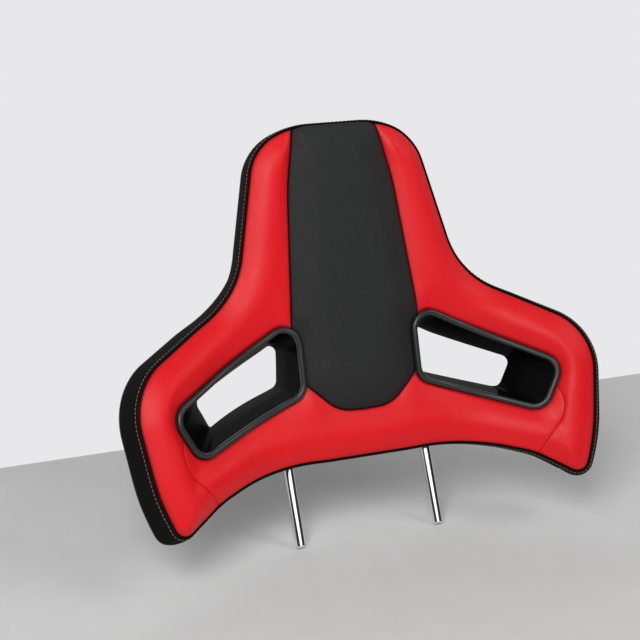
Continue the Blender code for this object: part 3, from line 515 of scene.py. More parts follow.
def leather(name, colour, crease, seam, pebble, depth, roughness, specular, coat=0.0):
    """Coated leather: pebbles of a given size and depth in mm, darker creases, painted seam shade.

    The seam colour is the shade painted at seams, and the mesh's seam attribute is 1 at a seam and
    falls to 0 beside it.
    """
    material, tree, shader, where = new_finish(name)
    wander = node(tree, "ShaderNodeTexNoise", {"Vector": where, "Scale": per_mm(pebble * 2)})
    shift = node(tree, "ShaderNodeVectorMath", {
        0: wander.outputs["Color"], "Scale": pebble / 1000}, operation="SCALE")
    uneven = node(tree, "ShaderNodeVectorMath", {0: where, 1: shift}, operation="ADD")
    cells = node(tree, "ShaderNodeTexVoronoi", {
        "Vector": uneven, "Scale": per_mm(pebble)}, feature="DISTANCE_TO_EDGE")
    grain = node(tree, "ShaderNodeMapRange", {"Value": cells, "From Max": CREASE_WIDTH})
    creased = node(tree, "ShaderNodeMapRange", {
        "Value": grain, "To Min": CREASE_SHARE, "To Max": 0.0})
    patches = node(tree, "ShaderNodeTexNoise", {
        "Vector": where, "Scale": per_mm(PATCH_SIZE), "Detail": 3.0})
    patchy = node(tree, "ShaderNodeMapRange", {
        "Value": patches, "From Min": 0.3, "From Max": 0.7, "To Max": PATCH_SHARE})
    # painted shade: the seam attribute mixes in the seam colour where seams and bezels shade the
    # leather
    sewn = node(tree, "ShaderNodeAttribute", attribute_name="seam").outputs["Fac"]
    base = linear(colour)
    for share, darker in ((creased, crease), (patchy, crease), (sewn, seam)):
        base = node(tree, "ShaderNodeMix", {
            0: share, 6: base, 7: linear(darker)}, data_type="RGBA").outputs[2]
    wear = node(tree, "ShaderNodeTexNoise", {"Vector": where, "Scale": per_mm(WEAR_SIZE)})
    gloss = node(tree, "ShaderNodeMapRange", {
        "Value": wear, "From Min": 0.25, "From Max": 0.75,
        "To Min": roughness - 0.05, "To Max": roughness + 0.06})
    bump = node(tree, "ShaderNodeBump", {"Height": grain, "Distance": depth / 1000})
    feed(tree, shader, {
        "Base Color": base, "Roughness": gloss, "Normal": bump,
        "Specular IOR Level": specular, "Coat Weight": coat, "Coat Roughness": 0.35})
    return material


# The third colour of each leather is the shade painted into its seams.
# Cowhide, coated and plated nearly smooth: an even, full red, with a satin light on its ridges.
RED_LEATHER = leather(
    "red_cowhide_plated_smooth", "#ea101c", "#d00c17", "#3a0407", 1.1, 0.05, 0.4, specular=0.3)
# Cowhide, coated and embossed with pebbles: they break up the light, so it looks matte.
BLACK_LEATHER = leather(
    "black_cowhide_embossed", "#252626", "#171818", "#050505", 1.5, 0.16, 0.56, specular=0.3)
# Split leather, plated smooth under a thin clear coat: deep black, with light only at a graze.
BAND_LEATHER = leather(
    "black_split_leather_plated", "#151615", "#0e0f0e", "#030303", 1.0, 0.06, 0.55,
    specular=0.0, coat=0.08)
print("leathers:", RED_LEATHER.name, BLACK_LEATHER.name, BAND_LEATHER.name)

# %% [markdown]
# ### Plastics
#
# The bezels, funnels and shell are injection moulded, and spark erosion leaves a fine grain in
# the mould that the parts take over. A flat grey would look like paint. Noise gives the grain,
# and wider noise varies the gloss a little, as handling does. The grain is 0.05 to 0.2 mm in
# reality and is drawn several times as coarse, so that it shows at all.

# %% Plastics
GLOSS_SIZE = 18


def plastic(name, colour, grain, depth, roughness, specular=0.5, coat=0.0):
    """Moulded plastic with an eroded grain of a given size and depth in mm."""
    material, tree, shader, where = new_finish(name)
    eroded = node(tree, "ShaderNodeTexNoise", {
        "Vector": where, "Scale": per_mm(grain), "Roughness": 0.6})
    handled = node(tree, "ShaderNodeTexNoise", {"Vector": where, "Scale": per_mm(GLOSS_SIZE)})
    gloss = node(tree, "ShaderNodeMapRange", {
        "Value": handled, "From Min": 0.3, "From Max": 0.7,
        "To Min": roughness - 0.04, "To Max": roughness + 0.05})
    bump = node(tree, "ShaderNodeBump", {"Height": eroded, "Distance": depth / 1000})
    feed(tree, shader, {
        "Base Color": linear(colour), "Roughness": gloss, "Normal": bump,
        "Specular IOR Level": specular, "Coat Weight": coat, "Coat Roughness": 0.2})
    return material


# ABS, finely eroded: dark grey satin that draws one soft line of light along the lip.
BEZEL_PLASTIC = plastic(
    "grey_abs_moulded_satin", "#242726", 0.5, 0.01, 0.34, specular=0.6)
# Polypropylene, from a nearly polished mould: a black hole with a faint shine at its edges.
TUNNEL_PLASTIC = plastic(
    "black_polypropylene_moulded_smooth", "#0a0a0b", 0.6, 0.02, 0.24, specular=0.0, coat=0.1)
# Polypropylene, coarsely eroded: dull black that hides scratches.
SHELL_PLASTIC = plastic("black_polypropylene_moulded_grained", "#1c1c1d", 0.9, 0.12, 0.5)
# Glass-filled nylon, as it leaves a plain mould: flat dark grey for what nobody is meant to see.
HIDDEN_PLASTIC = plastic("grey_nylon_moulded_plain", "#3a3a3d", 1.2, 0.02, 0.6)
for made in (BEZEL_PLASTIC, TUNNEL_PLASTIC, SHELL_PLASTIC, HIDDEN_PLASTIC):
    print("plastic:", made.name)

# %% [markdown]
# ### Metals and thread
#
# The posts are ground steel with chrome plating, the clamps are plated with zinc and the screws
# blackened. A metal shows mostly what is round it, so each is a plain Metallic shader whose gloss
# varies faintly. The sewing thread is twisted from plies. Real plies could be modelled, but at
# this distance bands of noise across the stitch say the same.

# %% Metals and thread
def metal(name, colour, grain, depth, roughness, unevenness):
    """Plated or blackened steel, with faint unevenness in its gloss."""
    material, tree, shader, where = new_finish(name)
    fine = node(tree, "ShaderNodeTexNoise", {
        "Vector": where, "Scale": per_mm(grain), "Detail": 3.0})
    gloss = node(tree, "ShaderNodeMapRange", {
        "Value": fine, "From Min": 0.3, "From Max": 0.7,
        "To Min": roughness, "To Max": roughness + unevenness})
    bump = node(tree, "ShaderNodeBump", {"Height": fine, "Distance": depth / 1000})
    feed(tree, shader, {
        "Base Color": linear(colour), "Metallic": 1.0, "Roughness": gloss, "Normal": bump})
    return material


def thread(name, colour, dark, twist):
    """Sewing thread: its plies show as fine bands across the stitch, of a given size in mm."""
    material, tree, shader, where = new_finish(name)
    plies = node(tree, "ShaderNodeTexNoise", {
        "Vector": where, "Scale": per_mm(twist), "Detail": 1.0})
    share = node(tree, "ShaderNodeMapRange", {"Value": plies, "From Min": 0.35, "From Max": 0.65})
    base = node(tree, "ShaderNodeMix", {
        0: share, 6: linear(dark), 7: linear(colour)}, data_type="RGBA").outputs[2]
    bump = node(tree, "ShaderNodeBump", {"Height": plies, "Distance": 0.0001})
    feed(tree, shader, {"Base Color": base, "Roughness": 0.6, "Sheen Weight": 0.3, "Normal": bump})
    return material


# Chrome on ground steel: a mirror with hardly a colour of its own.
CHROME = metal("chrome_plated_ground_steel", "#f2f2f4", 6, 0.0, 0.04, 0.03)
# Zinc-plated steel, barrel plated: pale grey with a cloudy gloss.
ZINC = metal("zinc_plated_steel", "#b9b9b2", 3, 0.01, 0.32, 0.12)
# Steel blackened by oxide and oil: nearly black, with a dull metal shine.
BLACK_STEEL = metal("black_oxide_steel", "#3a3a3b", 1.5, 0.01, 0.38, 0.1)
# Polyester, dyed and twisted: a dusty red-brown against the black band.
THREAD = thread("red_polyester_thread_twisted", "#a06a58", "#6a3a2e", 0.5)
print("metals and thread:", CHROME.name, ZINC.name, BLACK_STEEL.name, THREAD.name)

# %% [markdown]
# ## Cushions
#
# The face is four leather covers sewn together over moulded foam: the black centre, the red lower
# one and a red one on each side. Sculpting by hand could shape them, but one height formula over
# the drawing is easy to adjust, and neighbours always meet. It has a bolster ridge inside the
# edge, a crown on the centre, dips round the windows and valleys at the seams. At a seam each
# leather rolls over and down, which the eye reads as two skins sewn together.

# %% Heights of the face
RIDGE_RISE, RIDGE_INSET, RIDGE_WIDTH = 4.5, 24, 15
CENTRE_RISE, CENTRE_ROLL = 4.5, 40
SEAM_DEPTH, SEAM_WIDTH = 2.6, 11
WING_SEAM_DEPTH, WING_SEAM_WIDTH = 1, 8
SEAM_ROLL, WING_ROLL = 2.0, 0.8
BEZEL_DIP, BEZEL_DIP_WIDTH, BEZEL_DIP_FLAT = 4, 22, 1.1
BEZEL_TUCK, BEZEL_TUCK_WIDTH = 1.6, 4
# Widths and strengths of the shade painted into the seams and round the windows
SEAM_SHADE_WIDTH, WINDOW_SHADE_WIDTH = 3.5, 4
WING_SHADE, WING_SHADE_WIDTH = 0.12, 2


def dip(distance, width):
    """1 at no distance, falling smoothly to 0 at the width."""
    return np.clip(1 - distance / width, 0, 1) ** 2


def roll(distance, radius):
    """How far a skin has rolled down at a distance from its seam: a quarter round."""
    share = np.clip(1 - distance / radius, 0, 1)
    return radius * (1 - np.sqrt(1 - share**2))


def face_height(points):
    """Height of the leather at flat points, and the shade painted there by seams and windows."""
    half = right_half(points)
    to_edge = nearest(EDGE_RIGHT, half)[0]
    drop, width, _ = edge_values(points)
    to_centre = nearest(CENTRE_RIGHT, half)[0]
    to_seam = nearest(WING_SEAM, half)[0]
    ridge = RIDGE_RISE * np.exp(-(((to_edge - RIDGE_INSET) / RIDGE_WIDTH) ** 2))
    ridge *= np.clip(to_centre / SEAM_WIDTH, 0, 1)
    crown = CENTRE_RISE * (1 - dip(to_centre, CENTRE_ROLL))
    height = np.where(inside(CENTRE, half), crown, ridge)
    height -= SEAM_DEPTH * dip(to_centre, SEAM_WIDTH)
    height -= WING_SEAM_DEPTH * dip(to_seam, WING_SEAM_WIDTH)
    height -= drop * dip(to_edge, width)
    to_window = np.where(inside(WINDOW, half), 0, nearest(close(WINDOW), half)[0])
    sunk = np.clip(BEZEL_DIP_FLAT * dip(to_window, BEZEL_DIP_WIDTH), 0, 1)
    height = height * (1 - sunk) - BEZEL_DIP * sunk
    height -= BEZEL_TUCK * dip(to_window, BEZEL_TUCK_WIDTH)
    at_seam = np.minimum(to_edge, to_centre)
    height -= np.maximum(roll(at_seam, SEAM_ROLL), roll(to_seam, WING_ROLL))
    # painted shade: darker in the seam valleys and round the windows, where shade falls
    shade = np.maximum(dip(at_seam, SEAM_SHADE_WIDTH), WING_SHADE * dip(to_seam, WING_SHADE_WIDTH))
    return height, np.maximum(shade, dip(to_window, WINDOW_SHADE_WIDTH))


middle_height = face_height(np.array([(0.0, 160.0)]))[0][0]
print("the centre panel's crown is", middle_height.round(2), "mm high in its middle")


# %% Parts of the plan
def lower_zone():
    """Everything below the wing seams and the windows, which sets the lower cushion apart."""
    start = np.mean(WINDOW_CORNERS[:2], axis=0)
    end = WING_SEAM[-1] + (0, 2 * TIP)
    right = np.vstack((start * (0, 1), start, WINDOW.mean(axis=0), WING_SEAM, end, end * (0, 1)))
    return np.vstack((right, mirrored(right)[1:-1]))


def cushion_parts(plan, faces):
    """Which triangles of a plan belong to the centre, lower, right and left cushion."""
    middles = plan[faces].mean(axis=1)
    solid = inside(EDGE, middles) & ~inside(WINDOW_CUT, right_half(middles))
    centre = solid & inside(CENTRE, middles)
    lower = solid & ~centre & inside(lower_zone(), middles)
    side = solid & ~centre & ~lower
    return centre, lower, side & (middles[:, 0] > 0), side & (middles[:, 0] < 0)


# %% [markdown]
# ### Blown up as cloth
#
# Leather over foam swells between its seams and pulls flat near them. A sculptor would push that
# in by eye. Here a coarse copy of each cushion is blown up with the Cloth modifier instead, held
# at its seams, back and windows, because pressure finds the swelling by itself. How far the skin
# rises or settles, up to a cap, is added to the formula, and the copy goes again. It lifts the
# flanks of a bolster and rounds its ridge.

# %% Cloth
FOAM_BACK = -30
CLOTH_STEP = 6
CLOTH_FRAMES = 16
CLOTH_PRESSURE, CLOTH_STIFFNESS = 30, 5
CLOTH_CAP, CLOTH_HELD = 2.4, 2.5
WINDOW_LOOPS = [WINDOW_CUT, mirrored(WINDOW_CUT), WINDOW, mirrored(WINDOW)]
SEAM_PATHS = [CENTRE, WING_SEAM, WING_SEAM * (-1, 1)]


def blown_up(name, points, polygons, held):
    """The points of a closed mesh after cloth pressure, with some of them held in place."""
    cloth = bpy.data.objects.new(name, mesh_from(name, points, polygons))
    bpy.context.scene.collection.objects.link(cloth)
    cloth.vertex_groups.new(name="held").add(np.flatnonzero(held).tolist(), 1.0, "REPLACE")
    modifier = cloth.modifiers.new("cloth", "CLOTH")
    modifier.point_cache.frame_start, modifier.point_cache.frame_end = 1, CLOTH_FRAMES
    modifier.settings.vertex_group_mass = "held"
    modifier.settings.tension_stiffness = modifier.settings.compression_stiffness = CLOTH_STIFFNESS
    modifier.settings.use_pressure = True
    modifier.settings.uniform_pressure_force = CLOTH_PRESSURE
    modifier.settings.effector_weights.gravity = 0
    modifier.collision_settings.use_collision = False
    for frame_number in range(1, CLOTH_FRAMES + 1):
        bpy.context.scene.frame_set(frame_number)
    graph = bpy.context.evaluated_depsgraph_get()
    after = np.zeros(len(points) * 3)
    cloth.evaluated_get(graph).to_mesh().vertices.foreach_get("co", after)
    bpy.data.objects.remove(cloth)
    bpy.context.scene.frame_set(1)
    return after.reshape(-1, 3)


# %% Rise of the skins
CLOTH_NEAR, CLOTH_SOFTENING = 6, 0.5  # coarse points that a fine one asks, and a floor in mm


def cloth_rise():
    """Points of a coarse plan and how far the blown-up skin rises at each, in mm."""
    plan, faces = plan_mesh([EDGE] + WINDOW_LOOPS, SEAM_PATHS, CLOTH_STEP)
    height = face_height(plan)[0]
    half = right_half(plan)
    to_held = np.min([nearest(path, half)[0]
                      for path in (EDGE_RIGHT, CENTRE_RIGHT, WING_SEAM, close(WINDOW))], axis=0)
    outward = real(plan, height + 1) - real(plan, height)
    outward /= np.linalg.norm(outward, axis=1, keepdims=True)
    rise = np.zeros(len(plan))
    for k, kept in enumerate(cushion_parts(plan, faces)):
        points, polygons, used = solid_from_plan(
            plan, faces[kept], height, FOAM_BACK, ((0, 0), (0, 1)))
        held = np.ones(len(points), bool)
        held[:len(used)] = to_held[used] < CLOTH_HELD
        after = blown_up(f"cloth_{k}", points, polygons, held)
        moved = np.sum((after - points)[:len(used)] * outward[used], axis=1) * 1000
        rise[used] += moved
        print(f"cloth {k}: {len(points)} points, from {moved.min():.2f} to {moved.max():.2f} mm")
    return plan, CLOTH_CAP * np.tanh(rise / CLOTH_CAP)


def spread_rise(points):
    """The cloth's rise at any points of the plan, from the coarse points near each."""
    plan, rise = cloth_rise()
    tree = KDTree(len(plan))
    for k, (x, y) in enumerate(plan):
        tree.insert((x, y, 0), k)
    tree.balance()
    result = []
    for x, y in points:
        near = [(k, 1 / (apart + CLOTH_SOFTENING) ** 2)
                for _, k, apart in tree.find_n((x, y, 0), CLOTH_NEAR)]
        total = sum(weight for _, weight in near)
        result.append(sum(rise[k] * weight for k, weight in near) / total)
    return np.array(result)


# %% [markdown]
# ### The fine cushions
#
# The covers that are seen need far more points than the cloth did. A Subdivision Surface could
# smooth a coarse one, but it would also soften the seams. So the plan is filled again with a fine
# grid, and rows of points beside each seam let the leather roll over it crisply. All four
# cushions are cut from the one plan, and their tops and sides close them round the foam.

# %% The four cushions
PAD_STEP = 3.2
ROLL_SHARES = (0.15, 0.45, 1.0)
SIDE_ROWS = ((0.15, 0), (0.5, 0.06), (1.5, 0.9), (4.0, 1))


def beside(path, distance):
    """An open path moved sideways."""
    ahead = np.gradient(path, axis=0)
    ahead /= np.linalg.norm(ahead, axis=1, keepdims=True)
    return path + ahead[:, ::-1] * (-1, 1) * distance


def shaded(mesh, values):
    """Stores the shade painted at each point by seams and bezels, for the leather to read."""
    mesh.attributes.new("seam", "FLOAT", "POINT").data.foreach_set(
        "value", np.asarray(values, dtype=np.float32))


def make_cushions():
    beads = []
    for share in ROLL_SHARES:
        beads.append(close(offset(EDGE, -SEAM_ROLL * share)))
        for side in (1, -1):
            bead = beside(WING_SEAM, side * WING_ROLL * share)
            beads += [beside(CENTRE, side * SEAM_ROLL * share), bead, bead * (-1, 1)]
    plan, faces = plan_mesh([EDGE] + WINDOW_LOOPS, SEAM_PATHS + beads, PAD_STEP)
    centre, lower, right, left = cushion_parts(plan, faces)
    height, shade = face_height(plan)
    height += spread_rise(plan)
    for name, kept, skin, slot, nodes in (
        ("centre_cushion", centre, BLACK_LEATHER, "black_leather", ("centre_panel", "centre_foam")),
        ("lower_bolster", lower, RED_LEATHER, "red_leather", ("lower_panel", "bolster_foam")),
        ("side_bolster_right", right, RED_LEATHER, "red_leather", ("side_panel_right",)),
        ("side_bolster_left", left, RED_LEATHER, "red_leather", ("side_panel_left",)),
    ):
        points, polygons, used = solid_from_plan(plan, faces[kept], height, FOAM_BACK, SIDE_ROWS)
        mesh = mesh_from(name, points, polygons)
        shaded(mesh, np.concatenate((shade[used], np.zeros(len(points) - len(used)))))
        piece(name, mesh, skin, slot, *nodes)


make_cushions()

# %% [markdown]
# ## The side band
#
# One strip of black leather runs round the whole edge: a small welt beside the red leather, a
# stitched groove, then a soft swell back to the shell. A curve with a bevel object could sweep
# its section, but the band's depth and flare change on the way. So each row of points is worked
# out along the whole edge, and the rows are joined. The strip's ends meet just inside each wing
# tip.

# %% Band
RIM_BACK, SHELL_WALL = -44, 3
PLAY = 0.3  # between neighbouring pieces
BAND_REAR = RIM_BACK + SHELL_WALL + PLAY
GUSSET_WALL, GUSSET_PUFF = 1.6, 1.8
BAND_DEPTHS = (2.6, 1.4, 0.5, 0.05, 0.1, 0.5, 1.0, 1.7, 2.4, 2.9, 3.4, 3.9, 4.4, 5.2, 6.5)
BAND_REACHES = (0.25, 0.3, 0.6, 1.1, 1.6)
BAND_STEPS = 14
BAND_FRONT_INSIDE, BAND_INNER_REACH = 2.8, 0.2
STITCH_DEPTH = 3.4
GROOVE_DEPTH, GROOVE_WIDTH = 0.4, 0.8


def band_reach(share, flare):
    """How far the band stands out of the edge seam at a share of its depth."""
    swell = GUSSET_PUFF * (1 - np.abs(2 * share - 1) ** 3)
    return PLAY + GUSSET_WALL + swell + flare * share


def band_sections():
    """Rows of (reach, height) from the front seam over the outside to the rear and back inside."""
    drop, _, flare = edge_values(EDGE)
    depth = -drop - BAND_REAR
    depths = [np.full(len(EDGE), float(d)) for d in BAND_DEPTHS]
    depths += [BAND_DEPTHS[-1] + (depth - BAND_DEPTHS[-1]) * share
               for share in np.linspace(0, 1, BAND_STEPS)[1:]]
    rows = []
    for k, d in enumerate(depths):
        reach = band_reach(d / depth, flare)
        reach -= GROOVE_DEPTH * np.exp(-(((d - STITCH_DEPTH) / GROOVE_WIDTH) ** 2))
        if k < len(BAND_REACHES):
            reach = np.full(len(EDGE), float(BAND_REACHES[k]))
        rows.append((reach, -drop - d))
    for reach, height in rows[:3:-3]:  # back to the front inside, in every third row's place
        rows.append((np.maximum(reach - GUSSET_WALL, BAND_INNER_REACH),
                     np.minimum(height, -drop - BAND_FRONT_INSIDE)))
    return rows


print("rows in the band's section:", len(band_sections()))

# %% The band and its join
GUSSET_JOIN = 22
JOIN_DEPTH, JOIN_WIDTH, JOIN_SHADE = 1.0, 1.6, 0.8
WELT_ROWS = 3


def join_nearness():
    """1 where the strip's ends are sewn together, falling to 0 beside it, along the whole edge."""
    marks = np.cumsum(np.linalg.norm(np.diff(close(EDGE), axis=0), axis=1))
    marks, length = np.concatenate(((0,), marks[:-1])), marks[-1]
    join = EDGE_STATIONS[WING_TIP] + GUSSET_JOIN
    to_join = np.minimum(np.abs(marks - join), np.abs(marks - (length - join)))
    return np.exp(-((to_join / JOIN_WIDTH) ** 2))


def make_band():
    out = mitres(EDGE)
    rows = band_sections()
    sewn = join_nearness()
    loops = []
    for k, (reach, height) in enumerate(rows):
        if len(BAND_REACHES) <= k < len(BAND_DEPTHS) + BAND_STEPS - 1:
            reach = reach - JOIN_DEPTH * sewn
        loops.append(real(EDGE + out * reach[:, None], height))
    mesh = mesh_from("side_band", np.vstack(loops), lofted(loops, closed=True))
    # painted shade: full on the welt's rows, turned into the edge seam, and along the strip's join
    shade = np.zeros((len(rows), len(EDGE)))
    shade[:WELT_ROWS] = 1
    shaded(mesh, np.maximum(shade, JOIN_SHADE * sewn).ravel())
    piece("side_band", mesh, BAND_LEATHER, "gusset_leather",
                    "gusset_upper", "gusset_lower")


make_band()

# %% [markdown]
# ## Windows
#
# A moulded lip, the bezel, frames each window and presses a little into the leather. Behind it a
# black funnel narrows in two stages, most of all from the outer side, and ends just past the back
# shell. Solidify on a surface could give it a wall, but rings of equal point counts make wall,
# lip and inside in one closed mesh, and the same rings mirrored make the other window.

# %% Bezel
BEZEL_BAND, BEZEL_HEIGHT, BEZEL_FOOT, BEZEL_BOTTOM = 6.5, 4.2, 0.8, -5.4
ARCH_STEPS, ARCH_POWER = 12, 0.8  # a power under 1 makes the arch fuller than round


def bezel_rings():
    """Rings of the lip: up from its hidden foot, over in an arch, and down inside the window."""
    shoulder = PLAY - BEZEL_DIP + BEZEL_FOOT
    rise = BEZEL_HEIGHT - BEZEL_FOOT
    arch = [((1 - math.cos(a)) / 2, shoulder + rise * math.sin(a) ** ARCH_POWER)
            for a in np.linspace(0, math.pi, ARCH_STEPS + 1)[1:-1]]
    section = [(0, BEZEL_BOTTOM), (0, shoulder), *arch, (1, shoulder), (1, BEZEL_BOTTOM)]
    return [(offset(WINDOW, -BEZEL_BAND * share), n) for share, n in section]


print("bezel rings:", len(bezel_rings()))

# %% Back of the shell
SHELL_BULGE, SHELL_HEAD_BULGE, SHELL_BULGE_BLEND = 29, 9, 80
SHELL_BULGE_INSET, SHELL_BULGE_RAMP = 4, 14
SHELL_BULGE_HALF_WIDTH, SHELL_BULGE_FADE = 100, 80
CLAMP_HEIGHT = 32
SCREW_PLACES = (
    (HEAD - 41.5, TOP - 48.5), (HEAD - 13.5, 178),
    (SHOULDER - 70, 62), (SHOULDER - 32, -35), (SHOULDER - 112, -48),
)
SCREW_SEAT_RADIUS, SCREW_SEAT_RAMP = 8, 5


def ease(share):
    """0 up to 0, 1 from 1 on, and smooth between."""
    share = np.clip(share, 0, 1)
    return share * share * (3 - 2 * share)


def shell_bowl(points):
    """Height of the shell's outside: flat at the wings, with a bulge behind the clamps."""
    half = right_half(points)
    to_edge = nearest(EDGE_RIGHT, half)[0]
    to_edge = np.where(inside(EDGE, half), to_edge, 0)
    share = np.clip((to_edge - SHELL_BULGE_INSET) / SHELL_BULGE_RAMP, 0, 1)
    above = ease((half[:, 1] - CROSSBAR_Y - CLAMP_HEIGHT / 2) / SHELL_BULGE_BLEND)
    depth = SHELL_BULGE + (SHELL_HEAD_BULGE - SHELL_BULGE) * above
    beyond = ease((half[:, 0] - SHELL_BULGE_HALF_WIDTH) / SHELL_BULGE_FADE)
    return RIM_BACK - depth * share * (1 - beyond)


def shell_back(points):
    """The bowl with a flat seat round each screw."""
    height = shell_bowl(points)
    places = np.array(SCREW_PLACES, float)
    for place, level in zip(places, shell_bowl(places)):
        apart = np.linalg.norm(right_half(points) - place, axis=1)
        share = np.clip((SCREW_SEAT_RADIUS + SCREW_SEAT_RAMP - apart) / SCREW_SEAT_RAMP, 0, 1)
        height = height * (1 - share) + level * share
    return height


print("screw seats lie at", shell_back(np.array(SCREW_PLACES, float)).round(1))

# %% Funnel
TUNNEL_WALL, TUNNEL_STEP, TUNNEL_LIP, TUNNEL_RADIUS = 2.8, -30, 1, 12
TUNNEL_STEP_INSETS = (11, 10, 44, 12)
TUNNEL_REAR_INSETS = (14, 13, 58, 15)
FRONT_SHARES, REAR_SHARES = (0, 0.25, 0.5, 0.75, 0.97), (0.5, 1)
WAIST_SHARE, WAIST_DROP = 0.06, 0.7  # they round the turn between the two stages


def funnel_rings():
    """Rings down the funnel's outside to its waist and its rear lip, and up again inside."""
    front = offset(WINDOW, -WINDOW_TUCK - PLAY)
    waist = window_loop(TUNNEL_STEP_INSETS, TUNNEL_RADIUS)
    rear = window_loop(TUNNEL_REAR_INSETS, TUNNEL_RADIUS)
    shell = shell_back(rear)
    wall = [(front + (waist - front) * t, -BEZEL_DIP + (TUNNEL_STEP + BEZEL_DIP) * t)
            for t in FRONT_SHARES]
    wall.append((waist + (rear - waist) * WAIST_SHARE, TUNNEL_STEP - WAIST_DROP))
    seated = shell + SHELL_WALL + PLAY
    wall += [(waist + (rear - waist) * t, TUNNEL_STEP + (seated - TUNNEL_STEP) * t)
             for t in REAR_SHARES]
    wall.append((rear, shell - TUNNEL_LIP))
    return wall + [(offset(loop, -TUNNEL_WALL), n) for loop, n in reversed(wall)]


print("funnel rings:", len(funnel_rings()))


# %% Both windows
def make_windows():
    kinds = (
        ("window_frame_", bezel_rings(), BEZEL_PLASTIC, "bezel_plastic", "window_bezel_", 50),
        ("window_funnel_", funnel_rings(), TUNNEL_PLASTIC, "tunnel_plastic", "window_tunnel_", 30),
    )
    for side, flip in (("right", (1, 1)), ("left", (-1, 1))):
        for name, rings, skin, slot, cad, sharp in kinds:
            loops = [real(ring * flip, n) for ring, n in rings]
            mesh = mesh_from(name + side, np.vstack(loops), lofted(loops, closed=True))
            piece(name + side, mesh, skin, slot, cad + side, sharp=sharp)


make_windows()

# %% [markdown]
# ## Back shell
#
# The shell is one moulded skin with a bulge behind the clamps, flat seats round its ten screws
# and a rounded rim. It is made as the cushions are, from a plan and two heights. Holes for screws
# and posts could be lines of the plan too, but the posts pass at a slant, so round cutters take
# them out of the finished shell with the Boolean modifier, and go again.

# %% Cutters
def turned(profile, steps):
    """Rows of points in metres: a profile of (radius, height) in mm turned about Z."""
    return [
        [(r * math.cos(a) / 1000, r * math.sin(a) / 1000, z / 1000)
         for a in np.linspace(0, 2 * math.pi, steps, endpoint=False)]
        for r, z in profile
    ]


def cylinders(radius, low, high, places, steps):
    """One mesh of closed cylinders, each along the Z of its place, in mm."""
    points, faces = [], []
    for place in places:
        rows = turned(((radius, low), (radius, high)), steps)
        base = len(points)
        points += [tuple(place @ Vector(p)) for row in rows for p in row]
        faces += [tuple(v + base for v in face) for face in lofted(rows, caps=True)]
    return mesh_from("cylinders", points, faces)


def cut(mesh, cutter):
    """The mesh with a closed cutter taken out of it."""
    holder = bpy.data.objects.new("cut", mesh)
    tool = bpy.data.objects.new("tool", cutter)
    for obj in (holder, tool):
        bpy.context.scene.collection.objects.link(obj)
    modifier = holder.modifiers.new("cut", "BOOLEAN")
    modifier.object, modifier.operation, modifier.solver = tool, "DIFFERENCE", "EXACT"
    graph = bpy.context.evaluated_depsgraph_get()
    result = bpy.data.meshes.new_from_object(holder.evaluated_get(graph))
    for obj in (holder, tool):
        bpy.data.objects.remove(obj)
    return result


# %% Places of screws and posts
POST_DIAMETER, POST_SPACING, POST_BEND, POST_CHAMFER = 12, 170, 20, 2


def seat(x, y, n):
    """Frame in metres at a flat point of the pad: its Z is the pad's own outward direction."""
    near = np.array(((x, y, n), (x + 0.01, y, n), (x, y + 0.01, n)), float)  # here, right, up
    here, right, up = placed(curl(near))
    along_x = Vector(right - here).normalized()
    outward = along_x.cross(Vector(up - here)).normalized()
    turn = Matrix((along_x, outward.cross(along_x), outward)).transposed().to_4x4()
    return Matrix.Translation(Vector(here)) @ turn


def post_axis(side):
    """Frame in metres on a post's axis: Z runs from its end up to the crossbar's height."""
    end = PAD_TURN @ Vector((side * POST_SPACING / 2, 0, 0)) / 1000
    lean = Matrix.Rotation(-math.pi / 2 - POST_LEAN, 4, "X")
    return Matrix.Translation(end) @ (PAD_TURN @ lean)


SCREW_SEATS = [
    seat(side * x, y, float(shell_back(np.array(((x, y),), float))[0]))
    for x, y in SCREW_PLACES for side in (1, -1)
]
print("screw seats:", len(SCREW_SEATS))

# %% Lines of the shell
SHELL_ROLL, ROLL_RINGS = 2, (0, 0.2, 0.6, 1)
SEAT_STEPS = 24


def shell_lines():
    """Closed lines of the plan: rim, both windows, the rim's rolling, the ramp and the seats."""
    flare = edge_values(EDGE)[2]
    out = mitres(EDGE)
    rims = [EDGE + out * (band_reach(1, flare) - SHELL_ROLL * share)[:, None]
            for share in ROLL_RINGS]
    hole = offset(window_loop(TUNNEL_REAR_INSETS, TUNNEL_RADIUS), PLAY)
    ramps = [offset(EDGE, -inset)
             for inset in (SHELL_BULGE_INSET, SHELL_BULGE_INSET + SHELL_BULGE_RAMP)]
    around = np.linspace(0, 2 * math.pi, SEAT_STEPS, endpoint=False)
    circle = np.column_stack((np.sin(around), np.cos(around)))
    seats = [
        np.array(place) * (side, 1) + circle * radius
        for place in SCREW_PLACES for side in (1, -1)
        for radius in (SCREW_SEAT_RADIUS, SCREW_SEAT_RADIUS + SCREW_SEAT_RAMP)
    ]
    return rims, hole, [rims[0], hole, mirrored(hole)] + rims[1:] + ramps + seats


print("closed lines in the shell's plan:", len(shell_lines()[2]))

# %% Shell
SHELL_STEP = 6
ROLL_DROP = 0.8
SCREW_BORE, SCREW_BORE_REACH = 4.8, 4
FERRULE_DIAMETER, FERRULE_LENGTH = 16.3, 17
BORE_BELOW, BORE_ABOVE = 20.5, 8


